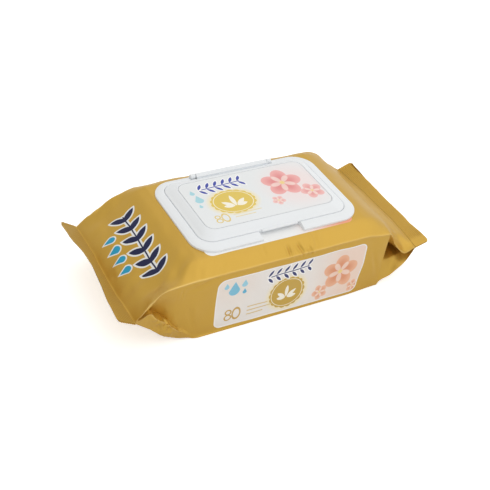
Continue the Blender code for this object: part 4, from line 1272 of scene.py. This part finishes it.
def bar(name, radius, start, end, material, sides=BARREL_SIDES):
    """A round bar along the hinge line, with softly rounded ends."""
    soft = min(BAR_END_RADIUS, radius / 3)
    turns = [2 * math.pi * i / sides for i in range(sides)]
    ends = ((start, radius - soft), (start + soft, radius), (end - soft, radius), (end, radius - soft))
    rings = [[(x, HINGE_Y + r * math.cos(a), HINGE_Z + r * math.sin(a)) for a in turns] for x, r in ends]
    return stack(name, rings, material)


def brick(name, low, high, material, soft=0.0):
    """A box between two corners, with rounded edges where soft is above 0."""
    shape = dict(size=(high[0] - low[0], high[1] - low[1]), corner=max(soft, SHARP_BRICK_CORNER),
                 centre=((low[0] + high[0]) / 2, (low[1] + high[1]) / 2))
    levels = [(0.0, low[2]), (0.0, high[2])]
    if soft:
        levels = [(soft * 0.6, low[2]), (0.0, low[2] + soft * 0.6), (0.0, high[2] - soft * 0.6),
                  (soft * 0.2, high[2] - soft * 0.2), (soft * 0.6, high[2])]
    return stack(name, [ring(shape, inset, z, steps=4) for inset, z in levels], material)


def combine(target, tools, operation):
    """Cut with or add other bodies, then keep the result as a plain mesh."""
    for tool in tools:
        modifier = target.modifiers.new(operation, "BOOLEAN")
        modifier.operation, modifier.solver, modifier.object = operation, "EXACT", tool
    graph = bpy.context.evaluated_depsgraph_get()
    graph.update()
    mesh = bpy.data.meshes.new_from_object(target.evaluated_get(graph), depsgraph=graph)
    target.modifiers.clear()
    target.data = mesh
    mesh.set_sharp_from_angle(angle=math.radians(SHARP_PLASTIC))
    for tool in tools:
        bpy.data.objects.remove(tool, do_unlink=True)
    return target


print("Hinge line in mm above the table:", HINGE_Z)

# %% [markdown]
# The frame is glued to the film, so its skirt reaches down to it all round. A thin lip
# runs along its edge, then the flange rises gently to the rim that shelters the cover.
# In the middle a collar stands round the opening, and a notch leaves room for a thumb.

# %% Lid frame
NOTCH = dict(size=(33.0, 19.0), corner=2.2, centre=(LID_X, -39.3))
SKIRT_FOOT, COLLAR_FOOT = 57.52, 57.75
BURIED = 58.35
EAR_GAP, EAR_WIDTH = 0.4, 3.6
SOCKET_RADIUS, SOCKET_DEPTH = 1.2, 3.0
CATCH_FRONT, CATCH_BACK, CATCH_HALF, CATCH_TOP = -29.3, -28.3, 6, 60.0


def rings_of(shape, *steps):
    """Rings of one shape at several steps: each gives its inset, its height and perhaps its corner."""
    return [ring(shape, *step) for step in steps]


def ear_span(side, near, far):
    """Where something on one ear begins and ends along X, counted out from its inner face."""
    inner = LID_X + side * (BARREL_HALF + EAR_GAP)
    return sorted((inner + side * near, inner + side * far))


def build_frame():
    """Flange, rim, seat, collar, notch, catch and the two ears of the hinge."""
    plate, seat = PLATE_TOP, SEAT_TOP
    lip, rim = ring(FRAME, 1.2, plate + 0.35), ring(COVER, -1.1, RIM_TOP)
    rings = rings_of(FRAME, (0.0, SKIRT_FOOT), (0.0, plate - 0.35), (0.1, plate - 0.1),
                     (0.35, plate + 0.06), (0.7, plate + 0.06), (0.95, plate + 0.2))
    rings += [lip, *between(lip, rim, ((0.3, 0.42), (0.6, 0.72), (0.85, 0.93))), rim]
    rings += rings_of(COVER, (-0.65, RIM_TOP - 0.03), (-0.37, RIM_TOP - 0.14), (-0.26, RIM_TOP - 0.4),
                      (-0.26, seat))
    rings += rings_of(MOUTH, (-1.6, seat), (-1.55, seat + 1.0), (-1.3, seat + 1.2), (-0.3, seat + 1.2),
                      (0.0, seat + 0.95), (0.0, COLLAR_FOOT))
    frame_piece = stack("dressed_frame", rings, white_plastic, through=True)
    notch = stack("notch", rings_of(NOTCH, (0.6, 57.2), (0.6, 58.4), (-0.2, 61.0)), white_plastic)
    reach = BARREL_HALF + 4.4
    trough = brick("trough", (LID_X - reach, HINGE_Y - 2.7, seat), (LID_X + reach, 44.6, COVER_TOP),
                   white_plastic)
    combine(frame_piece, [notch, trough], "DIFFERENCE")
    parts = [brick("catch", (LID_X - CATCH_HALF, CATCH_FRONT, BURIED),
                   (LID_X + CATCH_HALF, CATCH_BACK, CATCH_TOP), white_plastic, 0.25)]
    for side in (-1, 1):
        start, end = ear_span(side, 0.0, EAR_WIDTH)
        parts.append(bar("ear", BARREL_RADIUS, start, end, white_plastic))
        parts.append(brick("foot", (start, HINGE_Y - BARREL_RADIUS, BURIED),
                           (end, HINGE_Y + BARREL_RADIUS, HINGE_Z), white_plastic))
    combine(frame_piece, parts, "UNION")
    sockets = [bar("socket", SOCKET_RADIUS, *ear_span(side, -EAR_GAP, SOCKET_DEPTH), white_plastic,
                   PIN_SIDES)
               for side in (-1, 1)]
    return combine(frame_piece, sockets, "DIFFERENCE")


frame_piece = build_frame()
print("Frame faces:", len(frame_piece.data.polygons))

# %% [markdown]
# The cover is a shallow tray turned upside down. Its sloping border runs up to a low rim
# that protects the printed label. The tab in the notch, the barrel and its web are one
# piece with it, as they come out of the mould together.

# %% Flip-top cover
LABEL_WELL = 63.5
TAB_HALF, TAB_FRONT, TAB_BACK = 14, -32.4, -30.2
PIN_RADIUS, PIN_START, PIN_END = 1.0, 26, 32
RIB_PLACE, RIB_HALF_WIDTH = 47.0, 0.4


def build_cover():
    """Shell with a sloping border, a well for the label, a tab, a hinge barrel and pins."""
    foot, top = COVER_BASE, EDGE_TOP
    edge, brow = ring(COVER, 1.2, top + 0.16), ring(COVER, 6.5, COVER_TOP - 0.12, 7.9)
    rings = rings_of(COVER, (7.6, LABEL_WELL - 1.1), (6.8, LABEL_WELL - 1.15), (1.6, 60.7), (1.2, 60.3),
                     (1.1, foot), (0.15, foot), (0.0, foot + 0.15), (0.0, top - 0.75), (0.06, top - 0.5),
                     (0.2, top - 0.3), (0.45, top - 0.12), (0.8, top + 0.02))
    rings += [edge, *between(edge, brow, ((0.25, 0.3), (0.5, 0.57), (0.75, 0.8), (0.92, 0.945))), brow]
    rings += rings_of(COVER, (6.8, COVER_TOP, 7.6), (7.15, COVER_TOP, 7.2), (7.35, COVER_TOP - 0.15, 7.0),
                      (7.4, LABEL_WELL, 7.0))
    cover = stack("dressed_cover", rings, white_plastic)
    left, right = LID_X - BARREL_HALF, LID_X + BARREL_HALF
    tools = [brick("tab", (LID_X - TAB_HALF, TAB_FRONT, 59.9), (LID_X + TAB_HALF, TAB_BACK, 61.0),
                   white_plastic, 0.4),
             bar("barrel", BARREL_RADIUS, left, right, white_plastic),
             brick("web", (left, 37.4, 60.7), (right, HINGE_Y, 62.3), white_plastic)]
    for side in (-1, 1):
        start, end = sorted((LID_X + side * PIN_START, LID_X + side * PIN_END))
        tools.append(bar("pin", PIN_RADIUS, start, end, white_plastic, PIN_SIDES))
    for side in (-1, 1):
        middle = LID_X + side * RIB_PLACE
        tools.append(brick("rib", (middle - RIB_HALF_WIDTH, -20.0, 61.5),
                           (middle + RIB_HALF_WIDTH, 27.0, 62.6), white_plastic))
    return combine(cover, tools, "UNION")


cover = build_cover()
print("Cover faces:", len(cover.data.polygons))

# %% [markdown]
# Two thin layers finish the lid: the printed label in its well, with an edge rounded by
# the die that cut it, and the sticker that closes the slit in the film, with a pull tab.

# %% Label and sticker
SEAL = dict(size=(70.0, 32.0), corner=12.0, centre=(LID_X - 1.5, 3.55))
PULL_TAB = dict(size=(9.0, 15.0), corner=2.7, centre=(LID_X + 32.0, 3.55))
LABEL_INSET, LABEL_CORNER, LABEL_TOP = 7.7, 6.7, LABEL_WELL + 0.65


def build_label():
    """The thin printed label that fills the cover's well."""
    steps = ((0.0, LABEL_TOP - 0.35), (0.0, LABEL_TOP - 0.12), (0.06, LABEL_TOP - 0.03), (0.2, LABEL_TOP))
    rings = rings_of(COVER, *[(LABEL_INSET + inset, z, LABEL_CORNER - inset) for inset, z in steps])
    return stack("dressed_label", rings, label_print)


def build_sticker():
    """The resealable sticker, with its pull tab at the right end."""
    rings = rings_of(SEAL, (0.0, 57.8), (0.0, 58.0), (0.1, 58.12), (0.3, 58.15), (5.0, 58.15), (5.3, 58.05))
    sticker = stack("dressed_sticker", rings, sticker_film)
    tab = [ring(PULL_TAB, inset, z, steps=8) for inset, z in ((0.1, 57.85), (0.1, 58.1), (0.3, 58.2))]
    return combine(sticker, [stack("pull_tab", tab, sticker_film)], "UNION")


label = build_label()
sticker = build_sticker()
print("Label and sticker faces:", len(label.data.polygons), len(sticker.data.polygons))

# %% [markdown]
# Each finished piece now takes the place of the plain solid that it dresses. The pouch,
# the frame and the sticker stay with the pack; the cover and its label turn on the hinge.
# The calls could stand one by one, but a table shows at a glance what goes where.

# %% Give every piece its place
PIECES = (
    (pouch, "film_pack", "pack", "gold_film"),
    (frame_piece, "lid_frame", "pack", "white_moulding"),
    (cover, "flip_lid", "lid", "white_moulding"),
    (label, "lid_label", "lid", "printed_label"),
    (sticker, "peel_seal", "pack", "seal_film"),
)
for piece, node, body, finish in PIECES:
    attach(piece, body)
    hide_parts(node)
    low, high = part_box(node)
    corners = np.array([v.co[:] for v in piece.data.vertices])
    over = max((np.array(low) - corners.min(axis=0)).max(), (corners.max(axis=0) - np.array(high)).max())
    print(f"{piece.name}: {len(piece.data.polygons)} faces, at most {over / MM:.2f} mm past its solid's box")
